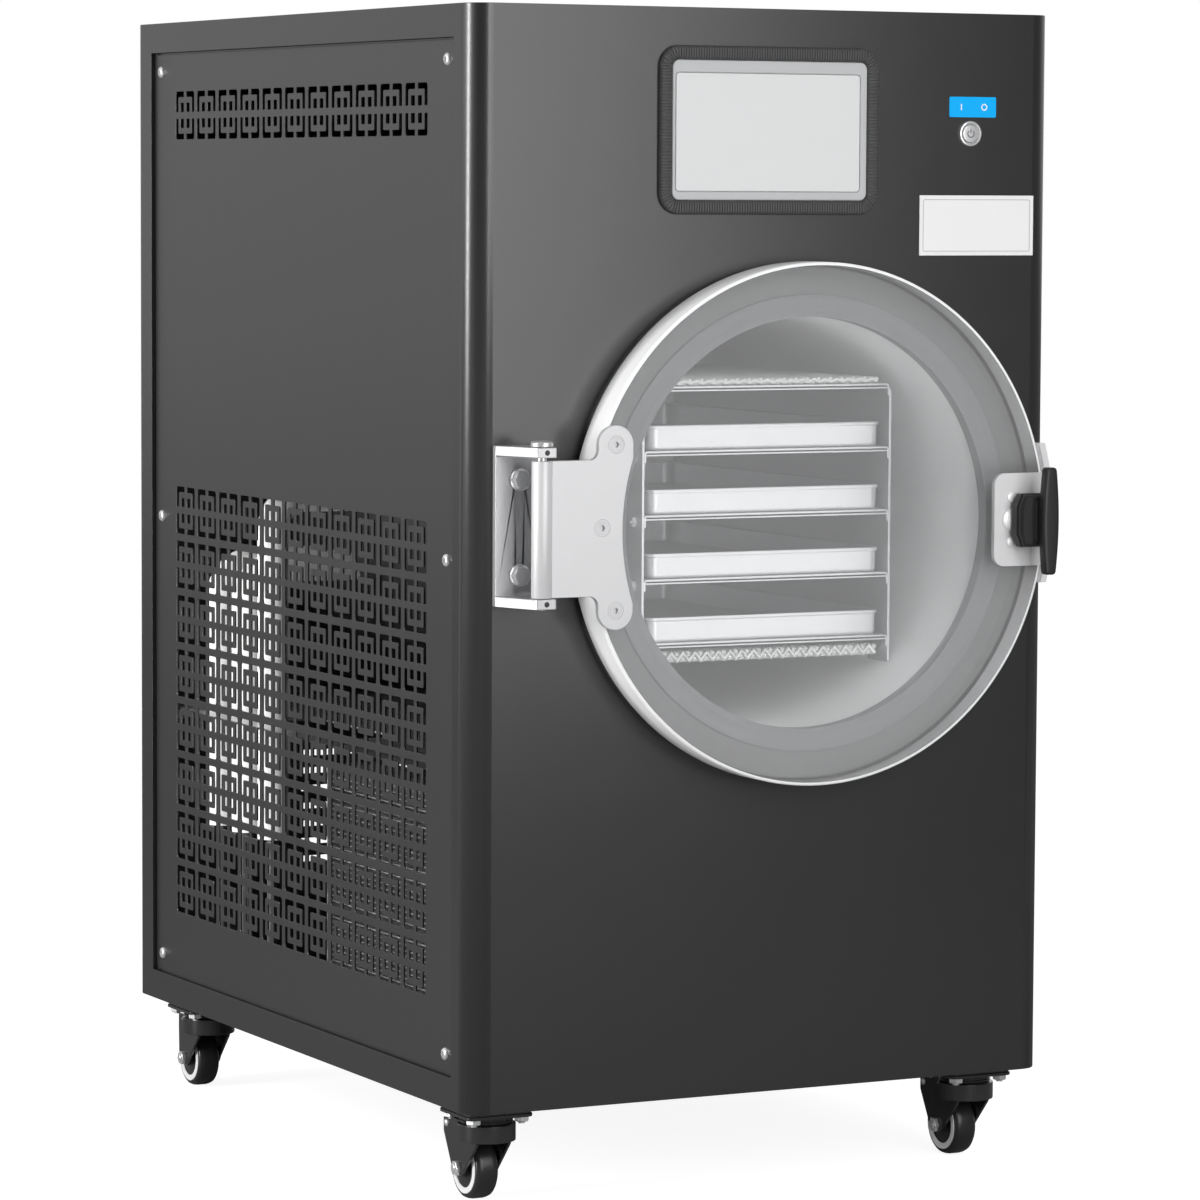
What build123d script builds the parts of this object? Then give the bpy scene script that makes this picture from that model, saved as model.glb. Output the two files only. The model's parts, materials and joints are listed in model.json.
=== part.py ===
"""Free-standing freeze dryer on four casters, as an assembly of separate pieces.

A folded steel cabinet carries a stainless drum with a clear acrylic door, a
rack of heated shelves with trays, a touch screen and a power button. The
condensing unit stands under the drum, behind vented side panels.

The origin is on the floor under the centre of the overall box. +X points to
the right seen from the front, +Y to the back and +Z up. Sizes are millimetres.
"""
from build123d import *
from math import sqrt
import os

os.makedirs("parts", exist_ok=True)

# ---------------------------------------------------------------- cabinet
cabinet_width = 488.0
cabinet_depth = 632.0
cabinet_height = 804.0
sheet = 1.5                 # steel sheet of every cabinet piece
bend_radius = 18.0          # outer radius of the two front upright corners
rear_slot = 5.0
rear_slots = 7
rear_slot_pitch = 15.0
rear_slot_length = 200.0
rear_vent_up = 150.0        # middle of the rear vents above the cabinet's bottom
rear_return = 16.0          # inward fold along the back edge of each side
seat_gap = 0.3              # clearance between pieces that only touch
cover_flange = 14.0         # folded rim of the top cover and the base pan
deck_height = 245.0         # deck under the drum, above the cabinet's bottom

# ---------------------------------------------------------------- casters
caster_height = 75.0        # floor to cabinet
caster_inset_x = 38.5       # swivel axis to the cabinet's side
caster_inset_y = 50.0       # swivel axis to the cabinet's front or back
caster_trail = 19.0
wheel_radius = 23.5
wheel_width = 19.0
wheel_shoulder = 4.5
axle_radius = 3.0
bore_clearance = 0.06       # radial running clearance of axles and pins
leg_gap = 2.6               # wheel face to fork leg
fork_sheet = 2.4
fork_radius = 22.0
fork_hood = 13.0            # height of the fork's curved front band
fork_top_gap = 0.4          # fork to the race above it
plate_size = 54.0
plate_thickness = 2.5
plate_spacer = 6.0
race_radius = 20.0
race_height = 6.0
kingpin_radius = 5.0
kingpin_head_radius = 7.5
kingpin_head = 2.0
leg_front = 14.0            # leg's front edge ahead of the swivel axis
leg_back = 10.0             # leg's back edge behind the axle
leg_foot = 5.0              # leg below the axle
leg_corner = 4.0
axle_nut = 10.0             # across flats
axle_nut_height = 4.0
pedal_pivot_y = 38.0        # behind the swivel axis
pedal_pivot_z = 54.5
pedal_pivot_radius = 2.5
pedal_side_gap = 0.5
hub_boss_radius = 7.0
hub_boss_gap = 0.4          # hub boss to fork leg

# ---------------------------------------------------------------- side panels
window_front = 30.0         # window in the cabinet's side, from the front
window_back = 24.0
window_bottom = 23.5
window_top = 24.0
window_recess = 3.0         # side panel's face behind the cabinet's side
window_ledge = 24.0         # width of the ledge that the panel lies on
panel_gap = 1.5             # panel edge to window edge
vent_columns = 11
vent_rows = 8
vent_cell = 38.5            # width and height of one fret cell
vent_pitch_y = 44.35
vent_pitch_z = 44.5
vent_bar = 4.0              # steel left at each end of a slot
vent_slot = 15.0            # width of a slot
vent_join = 2               # rows of cells that one slot runs through
vent_first_y = 99.5         # first column, from the cabinet's front
vent_first_z = 97.0         # first row, above the cabinet's bottom
vent_top_z = 729.0          # the single upper row

# ---------------------------------------------------------------- drum and door
door_x = 27.5
door_height = 425.5         # door centre above the cabinet's bottom
door_radius = 193.5
door_thickness = 28.0
door_edge = 1.5             # chamfer of the disc's rims
door_standoff = 4.0         # back of the door to the cabinet's front
drum_radius = 155.0         # inside
drum_wall = 3.0
drum_depth = 440.0
drum_rim = 1.5              # how far the drum's rim stands out of the front
drum_dish = 16.0            # bulge of the drum's back
drum_hole_gap = 2.0
gasket_width = 14.0         # from the drum's outside outwards
gasket_lip = 2.0
gasket_lip_depth = 8.0
saddle_width = 30.0
saddle_length = 236.0
saddle_drop = 114.0         # saddle's top below the drum's axis
saddle_inset = 80.0         # from the drum's ends
port_pipe_radius = 12.5
port_flange_radius = 20.0
port_bore_radius = 10.5
port_pipe_out = 6.0         # drum's pipe behind the cabinet
port_collar = 8.0
port_neck = 1.0             # wall of the port between its two collars
port_reach = 34.0           # vacuum port behind the cabinet
port_drop = 60.0            # below the drum's centre

# ---------------------------------------------------------------- rack
rack_width = 213.0          # over the side plates
rack_sheet = 2.0
rack_toe = 30.0             # length of each plate's feet
rack_toe_height = 6.0
rack_start = 60.0           # rack's front edge behind the cabinet's front
rack_depth = 350.0
rack_top = 97.0             # above the drum's centre
shelf_count = 5
shelf_pitch = 47.8
shelf_top = 100.0           # top face of the top shelf above the drum's centre
shelf_sheet = 1.5
shelf_flange = 9.0
tray_height = 19.0
tray_sheet = 0.8
tray_side_gap = 4.5
tray_front_gap = 2.0
tray_corner = 6.0
wrap_thickness = 5.0        # woven heater wrap on the end shelves
wrap_inset = 4.0

# ---------------------------------------------------------------- front controls
screen_x = -1.4
screen_height_up = 714.8
screen_width = 163.0
screen_height = 102.0
screen_corner = 5.5
screen_out = 3.0            # frame in front of the cabinet
screen_case_depth = 28.0    # case behind the cabinet's front
screen_case_gap = 2.0       # case to its opening
screen_lip = 4.0            # frame beyond the case
trim_band = 10.5            # width of the rubber edging
trim_proud = 4.5
trim_edge = 1.8
trim_corner = 16.0
display_width = 154.0
display_height = 86.0
display_shift = -1.5        # display from the middle of its frame
display_well = 1.5
display_thickness = 1.2
button_x = 170.8
button_up = 714.2
button_radius = 9.6
button_hole_radius = 8.0
button_cap_radius = 6.6
button_proud = 2.2
button_rim = 1.4            # slope at the bezel's mouth
button_gap = 0.15           # radial, cap in bezel
button_depth = 24.0
button_cap_length = 20.0
switch_plate_x = 173.0
switch_plate_up = 734.1
switch_plate_width = 40.7
switch_plate_height = 15.3
notice_x = 177.4
notice_up = 645.5
notice_width = 99.6
notice_height = 45.0
plate_film = 0.5

# ---------------------------------------------------------------- hinge
hinge_up = 428.0            # hinge centre above the cabinet's bottom
hinge_pin_x = -203.6
hinge_pin_out = 34.5        # pin axis in front of the cabinet
hinge_pin_radius = 3.4
pin_head_radius = 8.2
pin_head_height = 4.3
pin_head_edge = 0.8
pin_end = 1.0               # pin beyond the lower ear
knuckle_radius = 7.4
arm_half = 49.3             # half the height of the knuckle
arm_thickness = 5.0
arm_lobe_radius = 14.0
arm_lobe_up = 60.0
arm_lobe_x = 58.6           # lobe centre from the pin
arm_middle_screw_x = 47.6
arm_clear_radius = 167.0    # arm's concave edge about the door's centre
arm_screw_radius = 6.5
arm_screw_sink = 0.2        # head below the arm's face
arm_inner_corner = 7.0
socket_radius = 2.4
socket_depth = 2.5
bracket_x = -207.0
bracket_width = 38.0
bracket_thickness = 5.0
ear_thickness = 7.3
ear_top_gap = 2.5
ear_end_width = 15.4
ear_reach = 9.0             # ear's end in front of the pin axis
bracket_bolt_up = 34.6
bolt_hex = 13.0
bolt_head_height = 5.3
bolt_shank_radius = 4.0
bolt_end = 10.0             # bolt behind the cabinet's front
washer_radius = 8.2
washer_height = 1.6

# ---------------------------------------------------------------- latch
latch_radius = 179.5        # handle axis from the door's centre
latch_left = 146.8          # left edge of the latch plate from the door's centre
latch_plate_thickness = 4.0
latch_half = 35.0
latch_corner = 9.0
strap_thickness = 5.0
strap_gap = 0.3
strap_up = 57.0
strap_down = 48.0
strap_depth = 26.0
shaft_radius = 5.0
pawl_half = 14.0
pawl_width = 7.0
pawl_thickness = 5.0
pawl_gap = 1.0              # pawl to the back of the cabinet's front
slot_width = 13.0
slot_half = 16.0
hub_flats = 40.0
hub_thickness = 12.5
hub_gap = 4.0               # latch plate to the handle's hub
grip_length = 83.0
grip_middle = 14.0
grip_end = 7.0
grip_depth = 9.0
neck_length = 3.5
neck_height = 32.0
neck_corner = 4.0
hub_edge = 1.2
hub_face = 3.0              # hub's front wall over the shaft's end
dome_radius = 4.0
dome_large_radius = 8.5
dome_x = -18.0              # dome screws from the handle axis
dome_up = 16.6
dome_share = 0.3            # a dome's rise over its radius

# ---------------------------------------------------------------- condensing unit
coil_width = 45.0
coil_depth = 230.0
coil_height = 215.0
coil_x = -205.0
coil_start = 60.0
coil_up = 12.0
fin_count = 24
fin_thickness = 1.2
fin_reach = 12.0            # fins in front of the solid core
tube_radius = 4.8
tube_rows = 6
end_plate = 2.0
tube_end = 6.0
fan_radius = 88.0
fan_hub_radius = 24.0
fan_blades = 5
blade_thickness = 1.8
blade_root = 24.0
blade_tip = 50.0
fan_ring_gap = 4.0
shroud_depth = 30.0
motor_radius = 34.0
motor_length = 48.0
motor_bar = 26.0            # height of the bar that carries the motor
shroud_foot = 30.0
fan_hub_depth = 16.0
fan_shaft_in = 6.0          # shaft's end from the shroud's face
fan_shaft_radius = 4.0
compressor_x = 95.0
compressor_radius = 78.0
compressor_height = 175.0
compressor_foot = 12.0
can_shoulder = 34.0
can_toe = 18.0
foot_plate_length = 170.0
foot_plate_width = 120.0
foot_plate_thickness = 3.0
foot_inset = 12.0
foot_radius = 9.0
seam_rim = 3.0              # welded seam around the can
seam_share = 0.55           # seam height over the can's height
line_radius = 17.0
line_count = 3
line_pitch = 44.0
line_x = -190.0
line_start_y = 325.0        # from the cabinet's front
line_bend = 26.0
line_run_radius = 13.0
line_run_up = 62.0          # the run to the compressor, above the cabinet's bottom
control_width = 170.0
control_depth = 60.0
control_height = 110.0
control_back = 90.0         # middle of the box behind the cabinet's front
inlet_width = 28.0
inlet_height = 48.0
inlet_in = 70.0             # from the cabinet's left side
inlet_up = 60.0             # above the cabinet's bottom
inlet_body_depth = 20.0
inlet_rim_x = 4.0
inlet_rim_z = 8.0
inlet_rim = 2.5
inlet_socket_width = 24.0
inlet_socket_height = 17.0
inlet_socket_depth = 16.0
pin_width = 2.0
pin_height = 4.0

# ---------------------------------------------------------------- places worked out
handle_out = (door_standoff + door_thickness + latch_plate_thickness + hub_gap
              + hub_thickness + neck_length + grip_depth)
front_y = -(cabinet_depth + port_reach - handle_out) / 2
back_y = front_y + cabinet_depth
bottom_z = caster_height
top_z = bottom_z + cabinet_height
door_z = bottom_z + door_height
hinge_z = bottom_z + hinge_up
half_width = cabinet_width / 2
door_front_out = door_standoff + door_thickness
sheet_floor = bottom_z + sheet


def front_plane(out=0.0):
    """Plane of the cabinet's front, moved out towards the viewer."""
    return Plane(origin=(0, front_y - out, 0), x_dir=(1, 0, 0), z_dir=(0, -1, 0))


def spin_plane(x, z):
    """Half plane through an axis along Y, for turning a drum or a ring."""
    return Plane(origin=(x, front_y, z), x_dir=(1, 0, 0), z_dir=(0, 0, 1))


# ================================================================ cabinet shell
panel_low = bottom_z + window_bottom
panel_high = top_z - window_top
window_mid_y = front_y + (window_front + cabinet_depth - window_back) / 2
window_mid_z = (panel_low + panel_high) / 2
window_length = cabinet_depth - window_front - window_back
window_rise = panel_high - panel_low
wrap_depth = cabinet_depth - sheet

with BuildPart() as cabinet_wrap:
    with BuildSketch(Plane.XY.offset(bottom_z)) as outline:
        with Locations((0, front_y + wrap_depth / 2)):
            Rectangle(cabinet_width, wrap_depth)
        fillet(outline.vertices().group_by(Axis.Y)[0], bend_radius)
    extrude(amount=cabinet_height)
    with BuildSketch(Plane.XY.offset(bottom_z)) as hollow:
        with Locations((0, front_y + wrap_depth / 2)):
            Rectangle(cabinet_width - 2 * sheet, wrap_depth - 2 * sheet)
        fillet(hollow.vertices().group_by(Axis.Y)[0], bend_radius - sheet)
    extrude(amount=cabinet_height, mode=Mode.SUBTRACT)
    with BuildSketch(Plane.XY.offset(bottom_z)):
        with Locations((0, back_y - sheet)):
            Rectangle(cabinet_width - 2 * rear_return, 4 * sheet)
    extrude(amount=cabinet_height, mode=Mode.SUBTRACT)
    # the two side windows, each with a ledge set in behind it
    for side in (-1, 1):
        with BuildSketch(Plane.YZ.offset(side * half_width)):
            with Locations((window_mid_y, window_mid_z)):
                Rectangle(window_length, window_rise)
        extrude(amount=-side * sheet, mode=Mode.SUBTRACT)
        with BuildSketch(Plane.YZ.offset(side * (half_width - sheet / 2))):
            with Locations((window_mid_y, window_mid_z)):
                Rectangle(window_length + 2 * sheet, window_rise + 2 * sheet)
                Rectangle(window_length, window_rise, mode=Mode.SUBTRACT)
        extrude(amount=-side * (window_recess + sheet + sheet / 2))
        with BuildSketch(Plane.YZ.offset(side * (half_width - window_recess - sheet))):
            with Locations((window_mid_y, window_mid_z)):
                Rectangle(window_length + 2 * sheet, window_rise + 2 * sheet)
                Rectangle(window_length - 2 * window_ledge, window_rise - 2 * window_ledge,
                          mode=Mode.SUBTRACT)
        extrude(amount=-side * sheet)
    # openings of the front
    with BuildSketch(front_plane(1)):
        with Locations((door_x, door_z)):
            Circle(drum_radius + drum_wall + drum_hole_gap)
        with Locations((screen_x, bottom_z + screen_height_up)):
            Rectangle(screen_width - 2 * (screen_lip - screen_case_gap),
                      screen_height - 2 * (screen_lip - screen_case_gap))
        with Locations((button_x, bottom_z + button_up)):
            Circle(button_hole_radius)
        with Locations((bracket_x, hinge_z + bracket_bolt_up), (bracket_x, hinge_z - bracket_bolt_up)):
            Circle(bolt_shank_radius + seat_gap)
        with Locations((door_x + latch_radius, door_z)):
            Rectangle(slot_width, 2 * slot_half)
    extrude(amount=-(sheet + 2), mode=Mode.SUBTRACT)
cabinet_wrap.part.label = "cabinet_wrap"
export_step(cabinet_wrap.part, "parts/cabinet_wrap.step")

inner_width = cabinet_width - 2 * sheet - 2 * seat_gap
inner_depth = wrap_depth - 2 * sheet - 2 * seat_gap
inner_mid_y = front_y + wrap_depth / 2

with BuildPart() as top_cover:
    with BuildSketch(Plane.XY.offset(top_z)) as lid:
        with Locations((0, inner_mid_y)):
            Rectangle(inner_width, inner_depth)
        fillet(lid.vertices().group_by(Axis.Y)[0], bend_radius - sheet)
    extrude(amount=-cover_flange)
    with BuildSketch(Plane.XY.offset(top_z - sheet)) as under:
        with Locations((0, inner_mid_y)):
            Rectangle(inner_width - 2 * sheet, inner_depth - 2 * sheet)
        fillet(under.vertices().group_by(Axis.Y)[0], bend_radius - 2 * sheet)
    extrude(amount=-cover_flange, mode=Mode.SUBTRACT)
top_cover.part.label = "top_cover"
export_step(top_cover.part, "parts/top_cover.step")

with BuildPart() as base_pan:
    with BuildSketch(Plane.XY.offset(bottom_z)) as floor:
        with Locations((0, inner_mid_y)):
            Rectangle(inner_width, inner_depth)
        fillet(floor.vertices().group_by(Axis.Y)[0], bend_radius - sheet)
    extrude(amount=cover_flange)
    with BuildSketch(Plane.XY.offset(sheet_floor)) as well:
        with Locations((0, inner_mid_y)):
            Rectangle(inner_width - 2 * sheet, inner_depth - 2 * sheet)
        fillet(well.vertices().group_by(Axis.Y)[0], bend_radius - 2 * sheet)
    extrude(amount=cover_flange, mode=Mode.SUBTRACT)
base_pan.part.label = "base_pan"
export_step(base_pan.part, "parts/base_pan.step")

inlet_x = -half_width + inlet_in
inlet_z = bottom_z + inlet_up
with BuildPart() as rear_panel:
    with BuildSketch(Plane.XZ.offset(-back_y)):
        with Locations((0, bottom_z + cabinet_height / 2)):
            Rectangle(cabinet_width, cabinet_height)
        with Locations((0, bottom_z + rear_vent_up)):
            with GridLocations(0, rear_slot_pitch, 1, rear_slots):
                Rectangle(rear_slot_length, rear_slot, mode=Mode.SUBTRACT)
        with Locations((door_x, door_z - port_drop)):
            Circle(port_pipe_radius + seat_gap, mode=Mode.SUBTRACT)
        with Locations((inlet_x, inlet_z)):
            Rectangle(inlet_width + 2 * seat_gap, inlet_height + 2 * seat_gap, mode=Mode.SUBTRACT)
    extrude(amount=sheet)
rear_panel.part.label = "rear_panel"
export_step(rear_panel.part, "parts/rear_panel.step")

deck_z = bottom_z + deck_height
deck_width = inner_width - 2 * (window_recess + sheet)
with BuildPart() as drum_deck:
    with BuildSketch(Plane.XY.offset(deck_z)) as plan:
        with Locations((0, inner_mid_y)):
            Rectangle(deck_width, inner_depth)
        fillet(plan.vertices().group_by(Axis.Y)[0], bend_radius)
        with Locations((line_x, front_y + line_start_y + line_pitch)):
            Rectangle(3 * line_radius, line_count * line_pitch + line_radius, mode=Mode.SUBTRACT)
    extrude(amount=-sheet)
    with BuildSketch(Plane.XY.offset(deck_z - sheet)):
        with Locations((0, inner_mid_y - inner_depth / 2 + sheet / 2),
                       (0, inner_mid_y + inner_depth / 2 - sheet / 2)):
            Rectangle(deck_width - 2 * bend_radius, sheet)
    extrude(amount=-cover_flange)
drum_deck.part.label = "drum_deck"
export_step(drum_deck.part, "parts/drum_deck.step")

# ---------------------------------------------------------------- vented side panels
panel_length = window_length - 2 * panel_gap
panel_rise = window_rise - 2 * panel_gap
slot_pitch = vent_join * vent_pitch_z
vent_mid_y = front_y + vent_first_y + (vent_columns - 1) * vent_pitch_y / 2
vent_mid_z = bottom_z + vent_first_z + (vent_rows - 1) * vent_pitch_z / 2
for side, name in ((-1, "side_panel_left"), (1, "side_panel_right")):
    with BuildPart() as side_panel:
        with BuildSketch(Plane.YZ.offset(side * (half_width - window_recess))):
            with Locations((window_mid_y, window_mid_z)):
                Rectangle(panel_length, panel_rise)
            with Locations((vent_mid_y, vent_mid_z)):
                with GridLocations(vent_pitch_y, slot_pitch, vent_columns, vent_rows // vent_join):
                    Rectangle(vent_slot, slot_pitch - 2 * vent_bar, mode=Mode.SUBTRACT)
            with Locations((vent_mid_y, bottom_z + vent_top_z)):
                with GridLocations(vent_pitch_y, vent_pitch_z, vent_columns, 1):
                    Rectangle(vent_slot, vent_cell - 2 * vent_bar, mode=Mode.SUBTRACT)
        extrude(amount=-side * sheet)
    side_panel.part.label = name
    export_step(side_panel.part, f"parts/{name}.step")

# ================================================================ drum and gasket
drum_outer = drum_radius + drum_wall
with BuildPart() as vacuum_drum:
    with BuildSketch(spin_plane(door_x, door_z)):
        with BuildLine():
            front_in = (drum_radius, -drum_rim)
            back_in = (drum_radius, drum_depth)
            Line(front_in, back_in)
            ThreePointArc(back_in, (drum_radius * 0.55, drum_depth + drum_dish * 0.72),
                          (0, drum_depth + drum_dish))
            Line((0, drum_depth + drum_dish), (0, drum_depth + drum_dish + drum_wall))
            ThreePointArc((0, drum_depth + drum_dish + drum_wall),
                          (drum_outer * 0.55, drum_depth + drum_dish * 0.72 + drum_wall),
                          (drum_outer, drum_depth + drum_wall / 2))
            Line((drum_outer, drum_depth + drum_wall / 2), (drum_outer, -drum_rim))
            Line((drum_outer, -drum_rim), front_in)
        make_face()
    revolve(axis=Axis((door_x, front_y, door_z), (0, 1, 0)))
    # suction pipe out of the back, down to the vacuum port
    with BuildSketch(Plane.XZ.offset(-(front_y + drum_depth))):
        with Locations((door_x, door_z - port_drop)):
            Circle(port_pipe_radius)
    extrude(amount=-(cabinet_depth - drum_depth + port_pipe_out))
    with BuildSketch(Plane.XZ.offset(-(front_y + drum_depth - drum_dish))):
        with Locations((door_x, door_z - port_drop)):
            Circle(port_bore_radius)
    extrude(amount=-(cabinet_depth - drum_depth + port_reach), mode=Mode.SUBTRACT)
vacuum_drum.part.label = "vacuum_drum"
export_step(vacuum_drum.part, "parts/vacuum_drum.step")

gasket_front = door_standoff - seat_gap
with BuildPart() as door_gasket:
    with BuildSketch(spin_plane(door_x, door_z)):
        with BuildLine():
            Polyline((drum_radius - seat_gap - gasket_lip, -gasket_front),
                     (drum_outer + gasket_width, -gasket_front),
                     (drum_outer + gasket_width, -seat_gap),
                     (drum_outer + seat_gap, -seat_gap),
                     (drum_outer + seat_gap, -drum_rim - seat_gap),
                     (drum_radius - seat_gap, -drum_rim - seat_gap),
                     (drum_radius - seat_gap, gasket_lip_depth),
                     (drum_radius - seat_gap - gasket_lip, gasket_lip_depth),
                     close=True)
        make_face()
    revolve(axis=Axis((door_x, front_y, door_z), (0, 1, 0)))
door_gasket.part.label = "door_gasket"
export_step(door_gasket.part, "parts/door_gasket.step")

saddle_top = door_z - saddle_drop
with BuildPart() as drum_saddles:
    for y in (front_y + saddle_inset, front_y + drum_depth - saddle_inset - saddle_width):
        with BuildSketch(Plane.XZ.offset(-y)):
            with Locations((door_x, (deck_z + saddle_top) / 2)):
                Rectangle(saddle_length, saddle_top - deck_z)
            with Locations((door_x, door_z)):
                Circle(drum_outer + seat_gap, mode=Mode.SUBTRACT)
        extrude(amount=-saddle_width)
drum_saddles.part.label = "drum_saddles"
export_step(drum_saddles.part, "parts/drum_saddles.step")

with BuildPart() as vacuum_port:
    with BuildSketch(Plane.XZ.offset(-(back_y + port_pipe_out + seat_gap))):
        with Locations((door_x, door_z - port_drop)):
            Circle(port_flange_radius)
            Circle(port_bore_radius, mode=Mode.SUBTRACT)
    extrude(amount=-(port_reach - port_pipe_out - seat_gap))
    with BuildSketch(Plane.XZ.offset(-(back_y + port_pipe_out + port_collar))):
        with Locations((door_x, door_z - port_drop)):
            Circle(port_flange_radius)
            Circle(port_pipe_radius + port_neck, mode=Mode.SUBTRACT)
    extrude(amount=-(port_reach - port_pipe_out - 2 * port_collar), mode=Mode.SUBTRACT)
vacuum_port.part.label = "vacuum_port"
export_step(vacuum_port.part, "parts/vacuum_port.step")

# ================================================================ shelf rack
rack_half = rack_width / 2
rack_front_y = front_y + rack_start
rack_mid_y = rack_front_y + rack_depth / 2
rack_foot = sqrt((drum_radius - seat_gap) ** 2 - rack_half ** 2)
for side, name in ((-1, "rack_plate_left"), (1, "rack_plate_right")):
    with BuildPart() as rack_plate:
        with BuildSketch(Plane.YZ.offset(door_x + side * rack_half)):
            with Locations((rack_mid_y, door_z + (rack_top - rack_foot) / 2)):
                Rectangle(rack_depth, rack_top + rack_foot)
            with Locations((rack_mid_y, door_z - rack_foot)):
                Rectangle(rack_depth - 2 * rack_toe, 2 * rack_toe_height, mode=Mode.SUBTRACT)
        extrude(amount=-side * rack_sheet)
    rack_plate.part.label = name
    export_step(rack_plate.part, f"parts/{name}.step")

shelf_width = rack_width - 2 * rack_sheet
for index in range(shelf_count):
    shelf_z = door_z + shelf_top - index * shelf_pitch
    with BuildPart() as shelf:
        with BuildSketch(Plane.XZ.offset(-rack_front_y)):
            with Locations((door_x, shelf_z - shelf_flange / 2)):
                Rectangle(shelf_width, shelf_flange)
            with Locations((door_x, shelf_z - shelf_flange / 2 - shelf_sheet)):
                Rectangle(shelf_width - 2 * shelf_sheet, shelf_flange, mode=Mode.SUBTRACT)
        extrude(amount=-rack_depth)
    shelf.part.label = f"shelf_{index + 1}"
    export_step(shelf.part, f"parts/shelf_{index + 1}.step")

tray_width = shelf_width - 2 * tray_side_gap
tray_length = rack_depth - 2 * tray_front_gap
for index in range(shelf_count - 1):
    tray_z = door_z + shelf_top - (index + 1) * shelf_pitch
    with BuildPart() as tray:
        with BuildSketch(Plane.XY.offset(tray_z)):
            with Locations((door_x, rack_mid_y)):
                RectangleRounded(tray_width, tray_length, tray_corner)
        extrude(amount=tray_height)
        with BuildSketch(Plane.XY.offset(tray_z + tray_sheet)):
            with Locations((door_x, rack_mid_y)):
                RectangleRounded(tray_width - 2 * tray_sheet, tray_length - 2 * tray_sheet,
                                 tray_corner - tray_sheet)
        extrude(amount=tray_height, mode=Mode.SUBTRACT)
    tray.part.label = f"tray_{index + 1}"
    export_step(tray.part, f"parts/tray_{index + 1}.step")

top_shelf_z = door_z + shelf_top
low_shelf_z = top_shelf_z - (shelf_count - 1) * shelf_pitch - shelf_sheet
with BuildPart() as heater_wraps:
    for level, way in ((top_shelf_z, 1), (low_shelf_z, -1)):
        with BuildSketch(Plane.XY.offset(level)):
            with Locations((door_x, rack_mid_y)):
                Rectangle(shelf_width - 2 * wrap_inset, rack_depth - 2 * wrap_inset)
        extrude(amount=way * wrap_thickness)
heater_wraps.part.label = "heater_wraps"
export_step(heater_wraps.part, "parts/heater_wraps.step")

# ================================================================ front controls
screen_z = bottom_z + screen_height_up
with BuildPart() as screen_trim:
    with BuildSketch(front_plane(0)):
        with Locations((screen_x, screen_z)):
            RectangleRounded(screen_width + 2 * trim_band, screen_height + 2 * trim_band, trim_corner)
            RectangleRounded(screen_width + 2 * seat_gap, screen_height + 2 * seat_gap,
                             screen_corner, mode=Mode.SUBTRACT)
    extrude(amount=trim_proud)
    chamfer(screen_trim.faces().sort_by(Axis.Y)[0].edges(), trim_edge)
screen_trim.part.label = "screen_trim"
export_step(screen_trim.part, "parts/screen_trim.step")

display_x = screen_x + display_shift
display_z = screen_z + display_shift
with BuildPart() as touch_screen:
    with BuildSketch(front_plane(0)):
        with Locations((screen_x, screen_z)):
            RectangleRounded(screen_width, screen_height, screen_corner)
    extrude(amount=screen_out)
    with BuildSketch(front_plane(0)):
        with Locations((screen_x, screen_z)):
            Rectangle(screen_width - 2 * screen_lip, screen_height - 2 * screen_lip)
    extrude(amount=-screen_case_depth)
    with BuildSketch(front_plane(screen_out)):
        with Locations((display_x, display_z)):
            Rectangle(display_width, display_height)
    extrude(amount=-display_well, mode=Mode.SUBTRACT)
touch_screen.part.label = "touch_screen"
export_step(touch_screen.part, "parts/touch_screen.step")

with BuildPart() as display_glass:
    with BuildSketch(front_plane(screen_out - display_well)):
        with Locations((display_x, display_z)):
            Rectangle(display_width - 2 * bore_clearance, display_height - 2 * bore_clearance)
    extrude(amount=display_thickness)
display_glass.part.label = "display_glass"
export_step(display_glass.part, "parts/display_glass.step")

button_z = bottom_z + button_up
button_axis = Axis((button_x, front_y, button_z), (0, 1, 0))
with BuildPart() as button_bezel:
    with BuildSketch(spin_plane(button_x, button_z)):
        with BuildLine():
            Polyline((button_cap_radius + button_gap, -button_proud * 0.6),
                     (button_radius - button_rim, -button_proud),
                     (button_radius, -button_proud * 0.4), (button_radius, 0),
                     (button_hole_radius - seat_gap, 0), (button_hole_radius - seat_gap, button_depth),
                     (button_cap_radius + button_gap, button_depth), close=True)
        make_face()
    revolve(axis=button_axis)
button_bezel.part.label = "button_bezel"
export_step(button_bezel.part, "parts/button_bezel.step")

with BuildPart() as button_cap:
    with BuildSketch(spin_plane(button_x, button_z)):
        with BuildLine():
            Polyline((0, -button_proud * 0.8), (button_cap_radius, -button_proud * 0.8),
                     (button_cap_radius, button_cap_length), (0, button_cap_length), close=True)
        make_face()
    revolve(axis=button_axis)
button_cap.part.label = "button_cap"
export_step(button_cap.part, "parts/button_cap.step")

with BuildPart() as switch_plate:
    with BuildSketch(front_plane(0)):
        with Locations((switch_plate_x, bottom_z + switch_plate_up)):
            Rectangle(switch_plate_width, switch_plate_height)
    extrude(amount=plate_film)
switch_plate.part.label = "switch_plate"
export_step(switch_plate.part, "parts/switch_plate.step")

with BuildPart() as notice_plate:
    with BuildSketch(front_plane(0)):
        with Locations((notice_x, bottom_z + notice_up)):
            Rectangle(notice_width, notice_height)
    extrude(amount=plate_film)
notice_plate.part.label = "notice_plate"
export_step(notice_plate.part, "parts/notice_plate.step")

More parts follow.
